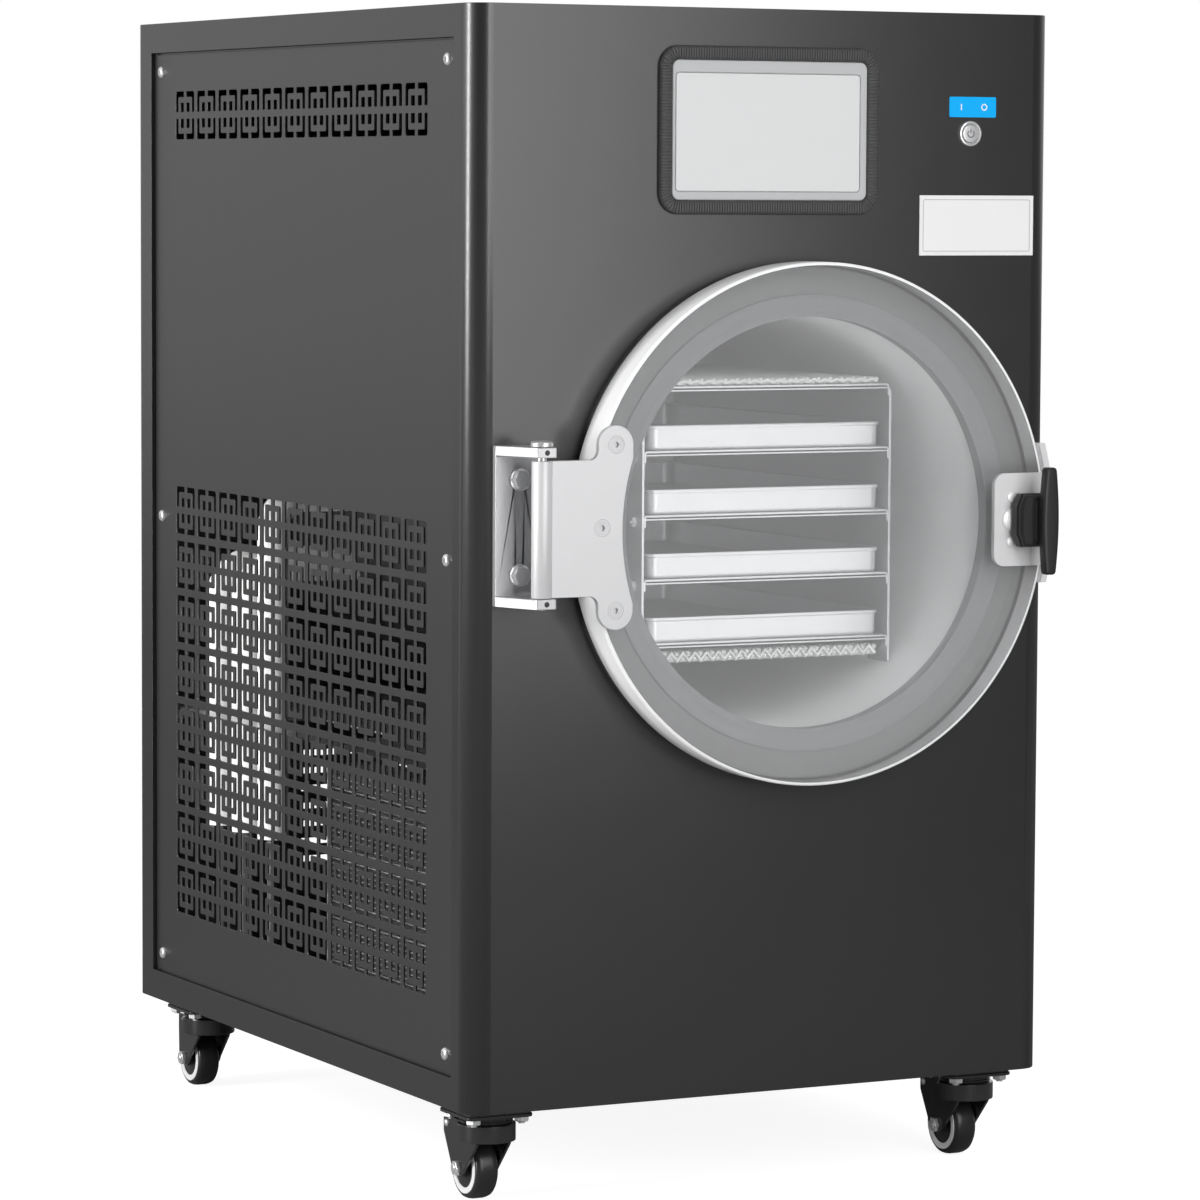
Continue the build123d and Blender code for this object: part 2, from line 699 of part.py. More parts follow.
# ================================================================ door
arm_screw_spots = [(hinge_pin_x + arm_lobe_x, hinge_z + arm_lobe_up),
                   (hinge_pin_x + arm_middle_screw_x, hinge_z),
                   (hinge_pin_x + arm_lobe_x, hinge_z - arm_lobe_up)]
arm_shank_radius = 3.0
shaft_x = door_x + latch_radius
with BuildPart() as door_disc:
    with BuildSketch(front_plane(door_standoff)):
        with Locations((door_x, door_z)):
            Circle(door_radius)
        with Locations(*arm_screw_spots):
            Circle(arm_shank_radius + seat_gap, mode=Mode.SUBTRACT)
        with Locations((shaft_x, door_z)):
            Circle(shaft_radius + 2 * bore_clearance, mode=Mode.SUBTRACT)
    extrude(amount=door_thickness)
    rims = door_disc.edges().filter_by(GeomType.CIRCLE).sort_by(SortBy.RADIUS)[-2:]
    chamfer(rims, door_edge)
door_disc.part.label = "door_disc"
export_step(door_disc.part, "parts/door_disc.step")

# ---------------------------------------------------------------- hinge
with BuildPart() as hinge_arm:
    with BuildSketch(front_plane(door_front_out)) as arm_shape:
        with Locations((hinge_pin_x + arm_lobe_x / 2, hinge_z)):
            Rectangle(arm_lobe_x, 2 * arm_half)
        with Locations((hinge_pin_x + arm_lobe_x, hinge_z)):
            Rectangle(2 * arm_lobe_radius, 2 * arm_lobe_up)
        with Locations((hinge_pin_x + arm_lobe_x, hinge_z + arm_lobe_up),
                       (hinge_pin_x + arm_lobe_x, hinge_z - arm_lobe_up)):
            Circle(arm_lobe_radius)
        corners = [corner for corner in arm_shape.vertices()
                   if abs(abs(corner.Y - hinge_z) - arm_half) < 0.1
                   and corner.X > hinge_pin_x + knuckle_radius]
        fillet(corners, arm_inner_corner)
        with Locations((door_x, door_z)):
            Circle(arm_clear_radius, mode=Mode.SUBTRACT)
    extrude(amount=arm_thickness)
    with BuildSketch(Plane.XY.offset(hinge_z - arm_half)):
        with Locations((hinge_pin_x, front_y - hinge_pin_out)):
            Circle(knuckle_radius)
    extrude(amount=2 * arm_half)
    with BuildSketch(Plane.XY.offset(hinge_z - arm_half)):
        with Locations((hinge_pin_x, front_y - hinge_pin_out)):
            Circle(hinge_pin_radius + bore_clearance)
    extrude(amount=2 * arm_half, mode=Mode.SUBTRACT)
    with Locations(*[Location((x, front_y - door_front_out - arm_thickness, z), (90, 0, 0))
                     for x, z in arm_screw_spots]):
        CounterSinkHole(arm_shank_radius + seat_gap, arm_screw_radius, arm_thickness, 90)
hinge_arm.part.label = "hinge_arm"
export_step(hinge_arm.part, "parts/hinge_arm.step")

with BuildPart() as hinge_arm_screws:
    head_radius = arm_screw_radius - seat_gap
    head_depth = head_radius - arm_shank_radius
    for x, z in arm_screw_spots:
        with BuildSketch(Plane(origin=(x, front_y - door_front_out - arm_thickness, z),
                               x_dir=(1, 0, 0), z_dir=(0, 0, 1))):
            with BuildLine():
                Polyline((0, arm_screw_sink), (head_radius, arm_screw_sink),
                         (arm_shank_radius, head_depth + arm_screw_sink),
                         (arm_shank_radius, arm_thickness + door_thickness),
                         (0, arm_thickness + door_thickness), close=True)
            make_face()
        revolve(axis=Axis((x, 0, z), (0, 1, 0)))
        with BuildSketch(Plane(origin=(x, front_y - door_front_out - arm_thickness + arm_screw_sink, z),
                               x_dir=(1, 0, 0), z_dir=(0, -1, 0))):
            RegularPolygon(socket_radius, 6)
        extrude(amount=-socket_depth, mode=Mode.SUBTRACT)
hinge_arm_screws.part.label = "hinge_arm_screws"
export_step(hinge_arm_screws.part, "parts/hinge_arm_screws.step")

ear_low = hinge_z - arm_half - seat_gap
ear_high = hinge_z + arm_half + ear_top_gap
bracket_low = ear_low - ear_thickness
bracket_high = ear_high + ear_thickness
pin_y = front_y - hinge_pin_out
ear_end_y = pin_y - ear_reach
bracket_left = bracket_x - bracket_width / 2
with BuildPart() as hinge_bracket:
    with BuildSketch(Plane.XY.offset(bracket_low)):
        with BuildLine():
            Polyline((bracket_left, front_y), (bracket_left + bracket_width, front_y),
                     (bracket_left + bracket_width, front_y - bracket_thickness),
                     (hinge_pin_x + ear_end_width / 2, pin_y),
                     (hinge_pin_x + ear_end_width / 2, ear_end_y),
                     (hinge_pin_x - ear_end_width / 2, ear_end_y),
                     (bracket_left, front_y - bracket_thickness), close=True)
        make_face()
    extrude(amount=bracket_high - bracket_low)
    with BuildSketch(Plane.XY.offset(ear_low)):
        with Locations((bracket_x, front_y - bracket_thickness - hinge_pin_out)):
            Rectangle(2 * bracket_width, 2 * hinge_pin_out)
    extrude(amount=ear_high - ear_low, mode=Mode.SUBTRACT)
    with BuildSketch(Plane.XY.offset(bracket_low)):
        with Locations((hinge_pin_x, pin_y)):
            Circle(hinge_pin_radius + bore_clearance)
    extrude(amount=bracket_high - bracket_low, mode=Mode.SUBTRACT)
    with BuildSketch(front_plane(0)):
        with Locations((bracket_x, hinge_z + bracket_bolt_up), (bracket_x, hinge_z - bracket_bolt_up)):
            Circle(bolt_shank_radius + seat_gap)
    extrude(amount=bracket_thickness, mode=Mode.SUBTRACT)
hinge_bracket.part.label = "hinge_bracket"
export_step(hinge_bracket.part, "parts/hinge_bracket.step")

with BuildPart() as hinge_pin:
    with BuildSketch(Plane.XY.offset(bracket_low - pin_end)):
        with Locations((hinge_pin_x, pin_y)):
            Circle(hinge_pin_radius)
    extrude(amount=bracket_high + seat_gap + pin_end - bracket_low)
    with BuildSketch(Plane.XY.offset(bracket_high + seat_gap)):
        with Locations((hinge_pin_x, pin_y)):
            Circle(pin_head_radius)
    extrude(amount=pin_head_height)
    chamfer(hinge_pin.edges().filter_by(GeomType.CIRCLE).group_by(Axis.Z)[-1], pin_head_edge)
hinge_pin.part.label = "hinge_pin"
export_step(hinge_pin.part, "parts/hinge_pin.step")

with BuildPart() as hinge_bolts:
    for way in (-1, 1):
        bolt_z = hinge_z + way * bracket_bolt_up
        with BuildSketch(front_plane(bracket_thickness)):
            with Locations((bracket_x, bolt_z)):
                Circle(washer_radius)
        extrude(amount=washer_height)
        with BuildSketch(front_plane(bracket_thickness + washer_height)):
            with Locations((bracket_x, bolt_z)):
                RegularPolygon(bolt_hex / 2, 6, major_radius=False)
        extrude(amount=bolt_head_height)
        with BuildSketch(front_plane(bracket_thickness)):
            with Locations((bracket_x, bolt_z)):
                Circle(bolt_shank_radius)
        extrude(amount=-(bracket_thickness + sheet + bolt_end))
hinge_bolts.part.label = "hinge_bolts"
export_step(hinge_bolts.part, "parts/hinge_bolts.step")

# ---------------------------------------------------------------- latch
strap_inner = door_radius + strap_gap
strap_outer = strap_inner + strap_thickness
latch_out = door_front_out + latch_plate_thickness
with BuildPart() as latch_bracket:
    with BuildSketch(front_plane(door_front_out)) as latch_shape:
        with Locations((door_x + (latch_left + strap_outer) / 2, door_z)):
            Rectangle(strap_outer - latch_left, 2 * latch_half)
        fillet(latch_shape.vertices().group_by(Axis.X)[0], latch_corner)
        with Locations((door_x, door_z)):
            Circle(strap_outer, mode=Mode.INTERSECT)
        with Locations((shaft_x, door_z)):
            Circle(shaft_radius + bore_clearance, mode=Mode.SUBTRACT)
    extrude(amount=latch_plate_thickness)
    with BuildSketch(front_plane(latch_out)):
        with Locations((door_x, door_z)):
            Circle(strap_outer)
            Circle(strap_inner, mode=Mode.SUBTRACT)
        with Locations((door_x + strap_outer, door_z + (strap_up - strap_down) / 2)):
            Rectangle(door_radius / 2, strap_up + strap_down, mode=Mode.INTERSECT)
    extrude(amount=-strap_depth)
latch_bracket.part.label = "latch_bracket"
export_step(latch_bracket.part, "parts/latch_bracket.step")

with BuildPart() as latch_screws:
    for radius, up in ((dome_radius, dome_up), (dome_large_radius, 0), (dome_radius, -dome_up)):
        dome_rise = radius * dome_share
        with BuildSketch(Plane(origin=(shaft_x + dome_x, front_y - latch_out, door_z + up),
                               x_dir=(1, 0, 0), z_dir=(0, 0, 1))):
            with BuildLine():
                Line((0, 0), (0, -dome_rise))
                ThreePointArc((0, -dome_rise), (radius * 0.7, -dome_rise * 0.55), (radius, 0))
                Line((radius, 0), (0, 0))
            make_face()
        revolve(axis=Axis((shaft_x + dome_x, 0, door_z + up), (0, 1, 0)))
latch_screws.part.label = "latch_screws"
export_step(latch_screws.part, "parts/latch_screws.step")

hub_out = latch_out + hub_gap
grip_out = hub_out + hub_thickness + neck_length
with BuildPart() as t_handle:
    with BuildSketch(front_plane(hub_out)):
        with Locations((shaft_x, door_z)):
            RegularPolygon(hub_flats / 2, 8, major_radius=False, rotation=22.5)
    extrude(amount=hub_thickness)
    chamfer(t_handle.faces().sort_by(Axis.Y)[0].edges(), hub_edge)
    with BuildSketch(front_plane(hub_out + hub_thickness)):
        with Locations((shaft_x, door_z)):
            RectangleRounded(grip_middle, neck_height, neck_corner)
    extrude(amount=neck_length)
    with BuildSketch(front_plane(grip_out)):
        with BuildLine():
            low = door_z - grip_length / 2
            high = door_z + grip_length / 2
            ThreePointArc((shaft_x - grip_end / 2, low), (shaft_x - grip_middle / 2, door_z),
                          (shaft_x - grip_end / 2, high))
            Line((shaft_x - grip_end / 2, high), (shaft_x + grip_end / 2, high))
            ThreePointArc((shaft_x + grip_end / 2, high), (shaft_x + grip_middle / 2, door_z),
                          (shaft_x + grip_end / 2, low))
            Line((shaft_x + grip_end / 2, low), (shaft_x - grip_end / 2, low))
        make_face()
    extrude(amount=grip_depth)
    chamfer(t_handle.faces().sort_by(Axis.Y)[0].edges(), hub_edge)
    with BuildSketch(front_plane(hub_out)):
        with Locations((shaft_x, door_z)):
            Circle(shaft_radius)
    extrude(amount=hub_thickness - hub_face, mode=Mode.SUBTRACT)
t_handle.part.label = "t_handle"
export_step(t_handle.part, "parts/t_handle.step")

pawl_y = sheet + pawl_gap
with BuildPart() as latch_shaft:
    with BuildSketch(front_plane(-pawl_y)):
        with Locations((shaft_x, door_z)):
            Circle(shaft_radius)
    extrude(amount=pawl_y + hub_out + hub_thickness - hub_face - seat_gap)
    with BuildSketch(front_plane(-pawl_y)):
        with Locations((shaft_x, door_z)):
            Rectangle(pawl_width, 2 * pawl_half)
    extrude(amount=-pawl_thickness)
latch_shaft.part.label = "latch_shaft"
export_step(latch_shaft.part, "parts/latch_shaft.step")

# ================================================================ casters
plate_low = bottom_z - plate_spacer - plate_thickness
race_low = plate_low - race_height
fork_top = race_low - fork_top_gap
leg_inner = wheel_width / 2 + leg_gap
leg_outer = leg_inner + fork_sheet
caster_spots = {
    "front_left": (-half_width + caster_inset_x, front_y + caster_inset_y),
    "front_right": (half_width - caster_inset_x, front_y + caster_inset_y),
    "rear_left": (-half_width + caster_inset_x, back_y - caster_inset_y),
    "rear_right": (half_width - caster_inset_x, back_y - caster_inset_y),
}

with BuildPart() as caster_plates:
    for spot in caster_spots.values():
        with BuildSketch(Plane.XY.offset(plate_low)):
            with Locations(spot):
                Rectangle(plate_size, plate_size)
        extrude(amount=plate_thickness + plate_spacer)
        with BuildSketch(Plane.XY.offset(plate_low)):
            with Locations(spot):
                Circle(race_radius)
        extrude(amount=-race_height)
        with BuildSketch(Plane.XY.offset(fork_top - fork_sheet - seat_gap)):
            with Locations(spot):
                Circle(kingpin_radius)
        extrude(amount=fork_top_gap + fork_sheet + seat_gap)
        with BuildSketch(Plane.XY.offset(fork_top - fork_sheet - seat_gap)):
            with Locations(spot):
                Circle(kingpin_head_radius)
        extrude(amount=-kingpin_head)
caster_plates.part.label = "caster_plates"
export_step(caster_plates.part, "parts/caster_plates.step")

for spot_name, (swivel_x, swivel_y) in caster_spots.items():
    braked = spot_name.startswith("front")
    axle_y = swivel_y + caster_trail
    with BuildPart() as fork:
        with BuildSketch(Plane.XY.offset(fork_top)):
            with Locations((swivel_x, swivel_y)):
                Circle(fork_radius)
        extrude(amount=-fork_hood)
        with BuildSketch(Plane.XY.offset(fork_top - fork_sheet)):
            with Locations((swivel_x, swivel_y)):
                Circle(fork_radius - fork_sheet)
        extrude(amount=-fork_hood, mode=Mode.SUBTRACT)
        # the band is open at the back, behind the legs
        with BuildSketch(Plane.XY.offset(fork_top - fork_sheet)):
            with Locations((swivel_x, swivel_y + fork_radius)):
                Rectangle(2 * fork_radius, 2 * fork_radius)
        extrude(amount=-fork_hood, mode=Mode.SUBTRACT)
        for side in (-1, 1):
            with BuildSketch(Plane.YZ.offset(swivel_x + side * leg_outer)) as leg:
                with BuildLine():
                    reach = pedal_pivot_y + leg_foot if braked else caster_trail + leg_back
                    Polyline((swivel_y - leg_front, fork_top), (swivel_y - leg_front, fork_top - fork_hood),
                             (axle_y - 2 * leg_corner, wheel_radius - leg_foot),
                             (axle_y + 2 * leg_corner, wheel_radius - leg_foot),
                             (swivel_y + reach, fork_top - fork_hood),
                             (swivel_y + reach, fork_top), close=True)
                make_face()
                fillet(leg.vertices().group_by(Axis.Y)[0], leg_corner)
            extrude(amount=-side * fork_sheet)
        with BuildSketch(Plane.XY.offset(fork_top)):
            with Locations((swivel_x, swivel_y)):
                Circle(kingpin_radius + bore_clearance)
        extrude(amount=-fork_sheet, mode=Mode.SUBTRACT)
        # axle bolt with its head and nut
        with BuildSketch(Plane.YZ.offset(swivel_x - leg_outer)):
            with Locations((axle_y, wheel_radius)):
                Circle(axle_radius)
        extrude(amount=2 * leg_outer)
        for side in (-1, 1):
            with BuildSketch(Plane.YZ.offset(swivel_x + side * leg_outer)):
                with Locations((axle_y, wheel_radius)):
                    RegularPolygon(axle_nut / 2, 6, major_radius=False)
            extrude(amount=side * axle_nut_height)
        if braked:
            with BuildSketch(Plane.YZ.offset(swivel_x - leg_outer)):
                with Locations((swivel_y + pedal_pivot_y, pedal_pivot_z)):
                    Circle(pedal_pivot_radius)
            extrude(amount=2 * leg_outer)
    fork.part.label = f"caster_fork_{spot_name}"
    export_step(fork.part, f"parts/caster_fork_{spot_name}.step")

    with BuildPart() as wheel:
        with BuildSketch(Plane(origin=(swivel_x, axle_y, wheel_radius), x_dir=(0, 0, 1),
                               z_dir=(0, 1, 0))) as tread:
            # local x runs out along the radius and local y along the axle
            half = wheel_width / 2
            boss = leg_inner - hub_boss_gap
            with BuildLine():
                Polyline((axle_radius + bore_clearance, -boss), (hub_boss_radius, -boss),
                         (hub_boss_radius, -half), (wheel_radius - wheel_shoulder, -half),
                         (wheel_radius, -half + wheel_shoulder), (wheel_radius, half - wheel_shoulder),
                         (wheel_radius - wheel_shoulder, half), (hub_boss_radius, half),
                         (hub_boss_radius, boss), (axle_radius + bore_clearance, boss),
                         close=True)
            make_face()
        revolve(axis=Axis((swivel_x, axle_y, wheel_radius), (1, 0, 0)))
    wheel.part.label = f"caster_wheel_{spot_name}"
    export_step(wheel.part, f"parts/caster_wheel_{spot_name}.step")

    if braked:
        pivot_y = swivel_y + pedal_pivot_y
        with BuildPart() as pedal:
            with BuildSketch(Plane.YZ.offset(swivel_x - leg_inner + pedal_side_gap)):
                # outline from the pivot: tread at the back and brake pad below
                outline = [(-5, -4), (-5, 3), (2, 6), (15, 11), (16, 8), (5, 2), (5, -4), (3, -14),
                           (0.5, -14), (0, -4)]
                with BuildLine():
                    Polyline(*[(pivot_y + along, pedal_pivot_z + up) for along, up in outline],
                             close=True)
                make_face()
                with Locations((pivot_y, pedal_pivot_z)):
                    Circle(pedal_pivot_radius + bore_clearance, mode=Mode.SUBTRACT)
            extrude(amount=2 * (leg_inner - pedal_side_gap))
        pedal.part.label = f"brake_pedal_{spot_name}"
        export_step(pedal.part, f"parts/brake_pedal_{spot_name}.step")

# ================================================================ condensing unit
coil_y = front_y + coil_start
coil_low = bottom_z + coil_up
coil_mid_y = coil_y + coil_depth / 2
coil_mid_z = coil_low + coil_height / 2
with BuildPart() as condenser_coil:
    # end plates, the core with its fins towards the vents, and the tubes' ends
    for plate_y in (coil_y, coil_y + coil_depth - end_plate):
        with BuildSketch(Plane.XZ.offset(-plate_y)):
            with Locations((coil_x, coil_mid_z)):
                Rectangle(coil_width, coil_height)
        extrude(amount=-end_plate)
    with BuildSketch(Plane.XZ.offset(-coil_y)):
        with Locations((coil_x + fin_reach / 2, coil_mid_z)):
            Rectangle(coil_width - fin_reach - end_plate, coil_height - 2 * end_plate)
    extrude(amount=-coil_depth)
    fin_pitch = coil_depth / (fin_count + 1)
    fin_mid_x = coil_x - (coil_width - fin_reach - end_plate) / 2
    for index in range(fin_count):
        with BuildSketch(Plane.XZ.offset(-(coil_y + (index + 1) * fin_pitch - fin_thickness / 2))):
            with Locations((fin_mid_x, coil_mid_z)):
                Rectangle(fin_reach, coil_height - 2 * end_plate)
        extrude(amount=-fin_thickness)
    with BuildSketch(Plane.XZ.offset(-(coil_y + coil_depth))):
        with Locations((coil_x, coil_mid_z)):
            with GridLocations(coil_width / 2, coil_height / (tube_rows + 1), 2, tube_rows):
                RegularPolygon(tube_radius, 6)
    extrude(amount=-tube_end)
condenser_coil.part.label = "condenser_coil"
export_step(condenser_coil.part, "parts/condenser_coil.step")

shroud_x = coil_x + coil_width / 2 + seat_gap
shroud_end = shroud_x + shroud_depth
fan_ring = fan_radius + fan_ring_gap
with BuildPart() as fan_shroud:
    with BuildSketch(Plane.YZ.offset(shroud_x)):
        with Locations((coil_mid_y, coil_mid_z)):
            Rectangle(coil_depth, coil_height)
            Circle(fan_ring, mode=Mode.SUBTRACT)
    extrude(amount=sheet)
    with BuildSketch(Plane.YZ.offset(shroud_x)):
        with Locations((coil_mid_y, coil_mid_z)):
            Circle(fan_ring + sheet)
            Circle(fan_ring, mode=Mode.SUBTRACT)
    extrude(amount=shroud_depth)
    # motor on a bar across the ring
    with BuildSketch(Plane.YZ.offset(shroud_end - sheet)):
        with Locations((coil_mid_y, coil_mid_z)):
            Rectangle(2 * fan_ring + sheet, motor_bar)
            Circle(motor_radius)
    extrude(amount=2 * sheet)
    with BuildSketch(Plane.YZ.offset(shroud_end)):
        with Locations((coil_mid_y, coil_mid_z)):
            Circle(motor_radius)
    extrude(amount=motor_length)
    with BuildSketch(Plane.YZ.offset(shroud_x + fan_shaft_in)):
        with Locations((coil_mid_y, coil_mid_z)):
            Circle(fan_shaft_radius)
    extrude(amount=shroud_depth - fan_shaft_in)
    # feet down to the base pan
    with BuildSketch(Plane.YZ.offset(shroud_x)):
        with Locations((coil_mid_y, (sheet_floor + coil_low) / 2)):
            with GridLocations(coil_depth - shroud_foot, 0, 2, 1):
                Rectangle(shroud_foot, coil_low - sheet_floor)
    extrude(amount=sheet)
fan_shroud.part.label = "fan_shroud"
export_step(fan_shroud.part, "parts/fan_shroud.step")

fan_mid_x = shroud_x + shroud_depth / 2
fan_hub_x = fan_mid_x - fan_hub_depth / 2
with BuildPart() as fan_rotor:
    with BuildSketch(Plane.YZ.offset(fan_hub_x)):
        with Locations((coil_mid_y, coil_mid_z)):
            Circle(fan_hub_radius)
    extrude(amount=fan_hub_depth)
    for index in range(fan_blades):
        turn = 360 / fan_blades * index
        blade_plane = Plane(origin=(fan_mid_x, coil_mid_y, coil_mid_z), x_dir=(1, 0, 0),
                            z_dir=(0, 0, 1)).rotated((turn, 0, 0))
        with BuildSketch(blade_plane.offset(fan_hub_radius - 2 * blade_thickness)):
            Rectangle(blade_thickness, blade_root, rotation=50)
        with BuildSketch(blade_plane.offset(fan_radius)):
            Rectangle(blade_thickness, blade_tip, rotation=27)
        loft()
    with BuildSketch(Plane.YZ.offset(fan_mid_x - shroud_depth)):
        with Locations((coil_mid_y, coil_mid_z)):
            Circle(fan_radius)
    extrude(amount=2 * shroud_depth, mode=Mode.INTERSECT)
    with BuildSketch(Plane.YZ.offset(fan_hub_x)):
        with Locations((coil_mid_y, coil_mid_z)):
            Circle(fan_shaft_radius + bore_clearance)
    extrude(amount=fan_hub_depth, mode=Mode.SUBTRACT)
fan_rotor.part.label = "fan_rotor"
export_step(fan_rotor.part, "parts/fan_rotor.step")

compressor_y = front_y + line_start_y + line_pitch
seam_z = compressor_height * seam_share
can_low = sheet_floor + compressor_foot
compressor_axis = Axis((compressor_x, compressor_y, 0), (0, 0, 1))
with BuildPart() as compressor:
    with BuildSketch(Plane(origin=(compressor_x, compressor_y, can_low), x_dir=(1, 0, 0),
                           z_dir=(0, -1, 0))) as can:
        with BuildLine():
            Polyline((0, 0), (compressor_radius - can_toe, 0), (compressor_radius, can_toe),
                     (compressor_radius, seam_z - seam_rim),
                     (compressor_radius + seam_rim, seam_z - seam_rim),
                     (compressor_radius + seam_rim, seam_z + seam_rim),
                     (compressor_radius, seam_z + seam_rim),
                     (compressor_radius, compressor_height), (0, compressor_height), close=True)
        make_face()
        shoulder = can.vertices().sort_by(Axis.Y)[-2:].sort_by(Axis.X)[-1]
        chamfer(shoulder, can_shoulder)
    revolve(axis=compressor_axis)
    with BuildSketch(Plane.XY.offset(can_low)):
        with Locations((compressor_x, compressor_y)):
            Rectangle(foot_plate_length, foot_plate_width)
    extrude(amount=foot_plate_thickness)
    with BuildSketch(Plane.XY.offset(sheet_floor)):
        with Locations((compressor_x, compressor_y)):
            with GridLocations(foot_plate_length - 2 * foot_inset, foot_plate_width - 2 * foot_inset,
                               2, 2):
                Circle(foot_radius)
    extrude(amount=compressor_foot + 1)
compressor.part.label = "compressor"
export_step(compressor.part, "parts/compressor.step")

drum_side_x = door_x - drum_outer - seat_gap
with BuildPart() as refrigerant_lines:
    for index in range(line_count):
        riser_y = front_y + line_start_y + index * line_pitch
        with BuildLine():
            FilletPolyline((drum_side_x, riser_y, door_z), (line_x, riser_y, door_z),
                           (line_x, riser_y, sheet_floor + seat_gap), radius=line_bend)
        with BuildSketch(Plane(origin=(drum_side_x, riser_y, door_z), x_dir=(0, 1, 0),
                               z_dir=(-1, 0, 0))):
            Circle(line_radius)
        sweep()
    # the middle riser has a run to the compressor
    with BuildSketch(Plane.YZ.offset(line_x)):
        with Locations((compressor_y, bottom_z + line_run_up)):
            Circle(line_run_radius)
    extrude(amount=compressor_x - compressor_radius - seat_gap - line_x)
refrigerant_lines.part.label = "refrigerant_lines"
export_step(refrigerant_lines.part, "parts/refrigerant_lines.step")

control_top = top_z - sheet - seat_gap
with BuildPart() as control_box:
    with BuildSketch(Plane.XY.offset(control_top)):
        with Locations((screen_x, front_y + control_back)):
            Rectangle(control_width, control_depth)
    extrude(amount=-control_height)
control_box.part.label = "control_box"
export_step(control_box.part, "parts/control_box.step")

with BuildPart() as mains_inlet:
    with BuildSketch(Plane.XZ.offset(-(back_y + seat_gap))):
        with Locations((inlet_x, inlet_z)):
            Rectangle(inlet_width + 2 * inlet_rim_x, inlet_height + 2 * inlet_rim_z)
    extrude(amount=-inlet_rim)
    with BuildSketch(Plane.XZ.offset(-(back_y - inlet_body_depth))):
        with Locations((inlet_x, inlet_z)):
            Rectangle(inlet_width, inlet_height)
    extrude(amount=-(inlet_body_depth + seat_gap + inlet_rim))
    with BuildSketch(Plane.XZ.offset(-(back_y + seat_gap + inlet_rim))):
        with Locations((inlet_x, inlet_z)):
            Rectangle(inlet_socket_width, inlet_socket_height)
    extrude(amount=inlet_socket_depth, mode=Mode.SUBTRACT)
    # earth pin above the other two
    for pin_x, pin_z in ((0, 3), (-7, -3), (7, -3)):
        with BuildSketch(Plane.XZ.offset(-back_y)):
            with Locations((inlet_x + pin_x, inlet_z + pin_z)):
                Rectangle(pin_width, pin_height)
        extrude(amount=inlet_socket_depth)
mains_inlet.part.label = "mains_inlet"
export_step(mains_inlet.part, "parts/mains_inlet.step")
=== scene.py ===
"""Free-standing freeze dryer: the visible pieces, their finishes and the studio.

Lengths in this file are millimetres in the row frame, unless a name says
otherwise. A Shape turns them into metres when it places its piece.
"""
import json
import logging
import math
from dataclasses import dataclass
from enum import Enum
import bmesh
import bpy
from mathutils import Matrix, Vector

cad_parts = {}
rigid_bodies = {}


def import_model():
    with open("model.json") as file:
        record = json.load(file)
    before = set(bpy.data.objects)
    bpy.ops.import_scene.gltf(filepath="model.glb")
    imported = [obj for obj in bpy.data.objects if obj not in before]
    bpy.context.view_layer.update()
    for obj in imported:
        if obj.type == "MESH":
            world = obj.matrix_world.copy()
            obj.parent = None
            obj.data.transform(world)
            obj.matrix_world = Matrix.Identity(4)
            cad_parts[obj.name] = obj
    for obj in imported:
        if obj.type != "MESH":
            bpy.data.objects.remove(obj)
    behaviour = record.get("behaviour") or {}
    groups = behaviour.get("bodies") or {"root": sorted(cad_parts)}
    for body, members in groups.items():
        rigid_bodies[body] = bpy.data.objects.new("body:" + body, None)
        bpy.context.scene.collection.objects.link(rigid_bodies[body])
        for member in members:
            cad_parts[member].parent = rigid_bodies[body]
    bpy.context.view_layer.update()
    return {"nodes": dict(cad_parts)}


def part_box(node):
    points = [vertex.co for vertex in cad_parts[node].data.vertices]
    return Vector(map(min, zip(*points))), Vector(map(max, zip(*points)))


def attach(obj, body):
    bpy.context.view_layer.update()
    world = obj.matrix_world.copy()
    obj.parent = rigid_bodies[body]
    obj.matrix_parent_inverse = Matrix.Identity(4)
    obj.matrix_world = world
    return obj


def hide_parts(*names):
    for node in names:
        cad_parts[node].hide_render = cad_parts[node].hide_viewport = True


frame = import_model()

MM = 0.001
LOG = logging.getLogger("scene")
WELD_REACH = 0.02          # corners closer than this are one
EDGE_ANGLE = 50.0          # degrees; softer edges stay as they are
SIDES = ("left", "right")
CORNERS = ("front_left", "front_right", "rear_left", "rear_right")
AXES = {"x": (Vector((0, 1, 0)), Vector((0, 0, 1)), Vector((1, 0, 0))),
        "y": (Vector((1, 0, 0)), Vector((0, 0, 1)), Vector((0, 1, 0))),
        "z": (Vector((1, 0, 0)), Vector((0, 1, 0)), Vector((0, 0, 1)))}


# ------------------------------------------------------------------ outlines
def rounded(points: list, radius, steps: int = 4) -> list:
    """Round the corners of a closed outline.

    Args:
        points: corners in order, each (u, v).
        radius: one radius for every corner, or a list with one for each.
        steps: straight runs in each rounded corner.

    Returns:
        The outline's points in the same order.
    """
    radii = radius if isinstance(radius, (list, tuple)) else [radius] * len(points)
    out = []
    for i, corner in enumerate(points):
        here = Vector(corner)
        back = Vector(points[i - 1]) - here
        on = Vector(points[(i + 1) % len(points)]) - here
        half = back.angle(on) / 2
        if radii[i] < 1e-6 or half > math.pi / 2 - 1e-3:
            out.append((here.x, here.y))
            continue
        reach = min(radii[i] / math.tan(half), back.length / 2, on.length / 2)
        size = reach * math.tan(half)
        start, end = here + back.normalized() * reach, here + on.normalized() * reach
        middle = here + (back.normalized() + on.normalized()).normalized() * (
            size / math.sin(half))
        a, b = start - middle, end - middle
        turn = a.angle_signed(b)
        for k in range(steps + 1):
            arm = a.copy()
            arm.rotate(Matrix.Rotation(-turn * k / steps, 2))
            out.append((middle.x + arm.x, middle.y + arm.y))
    return out


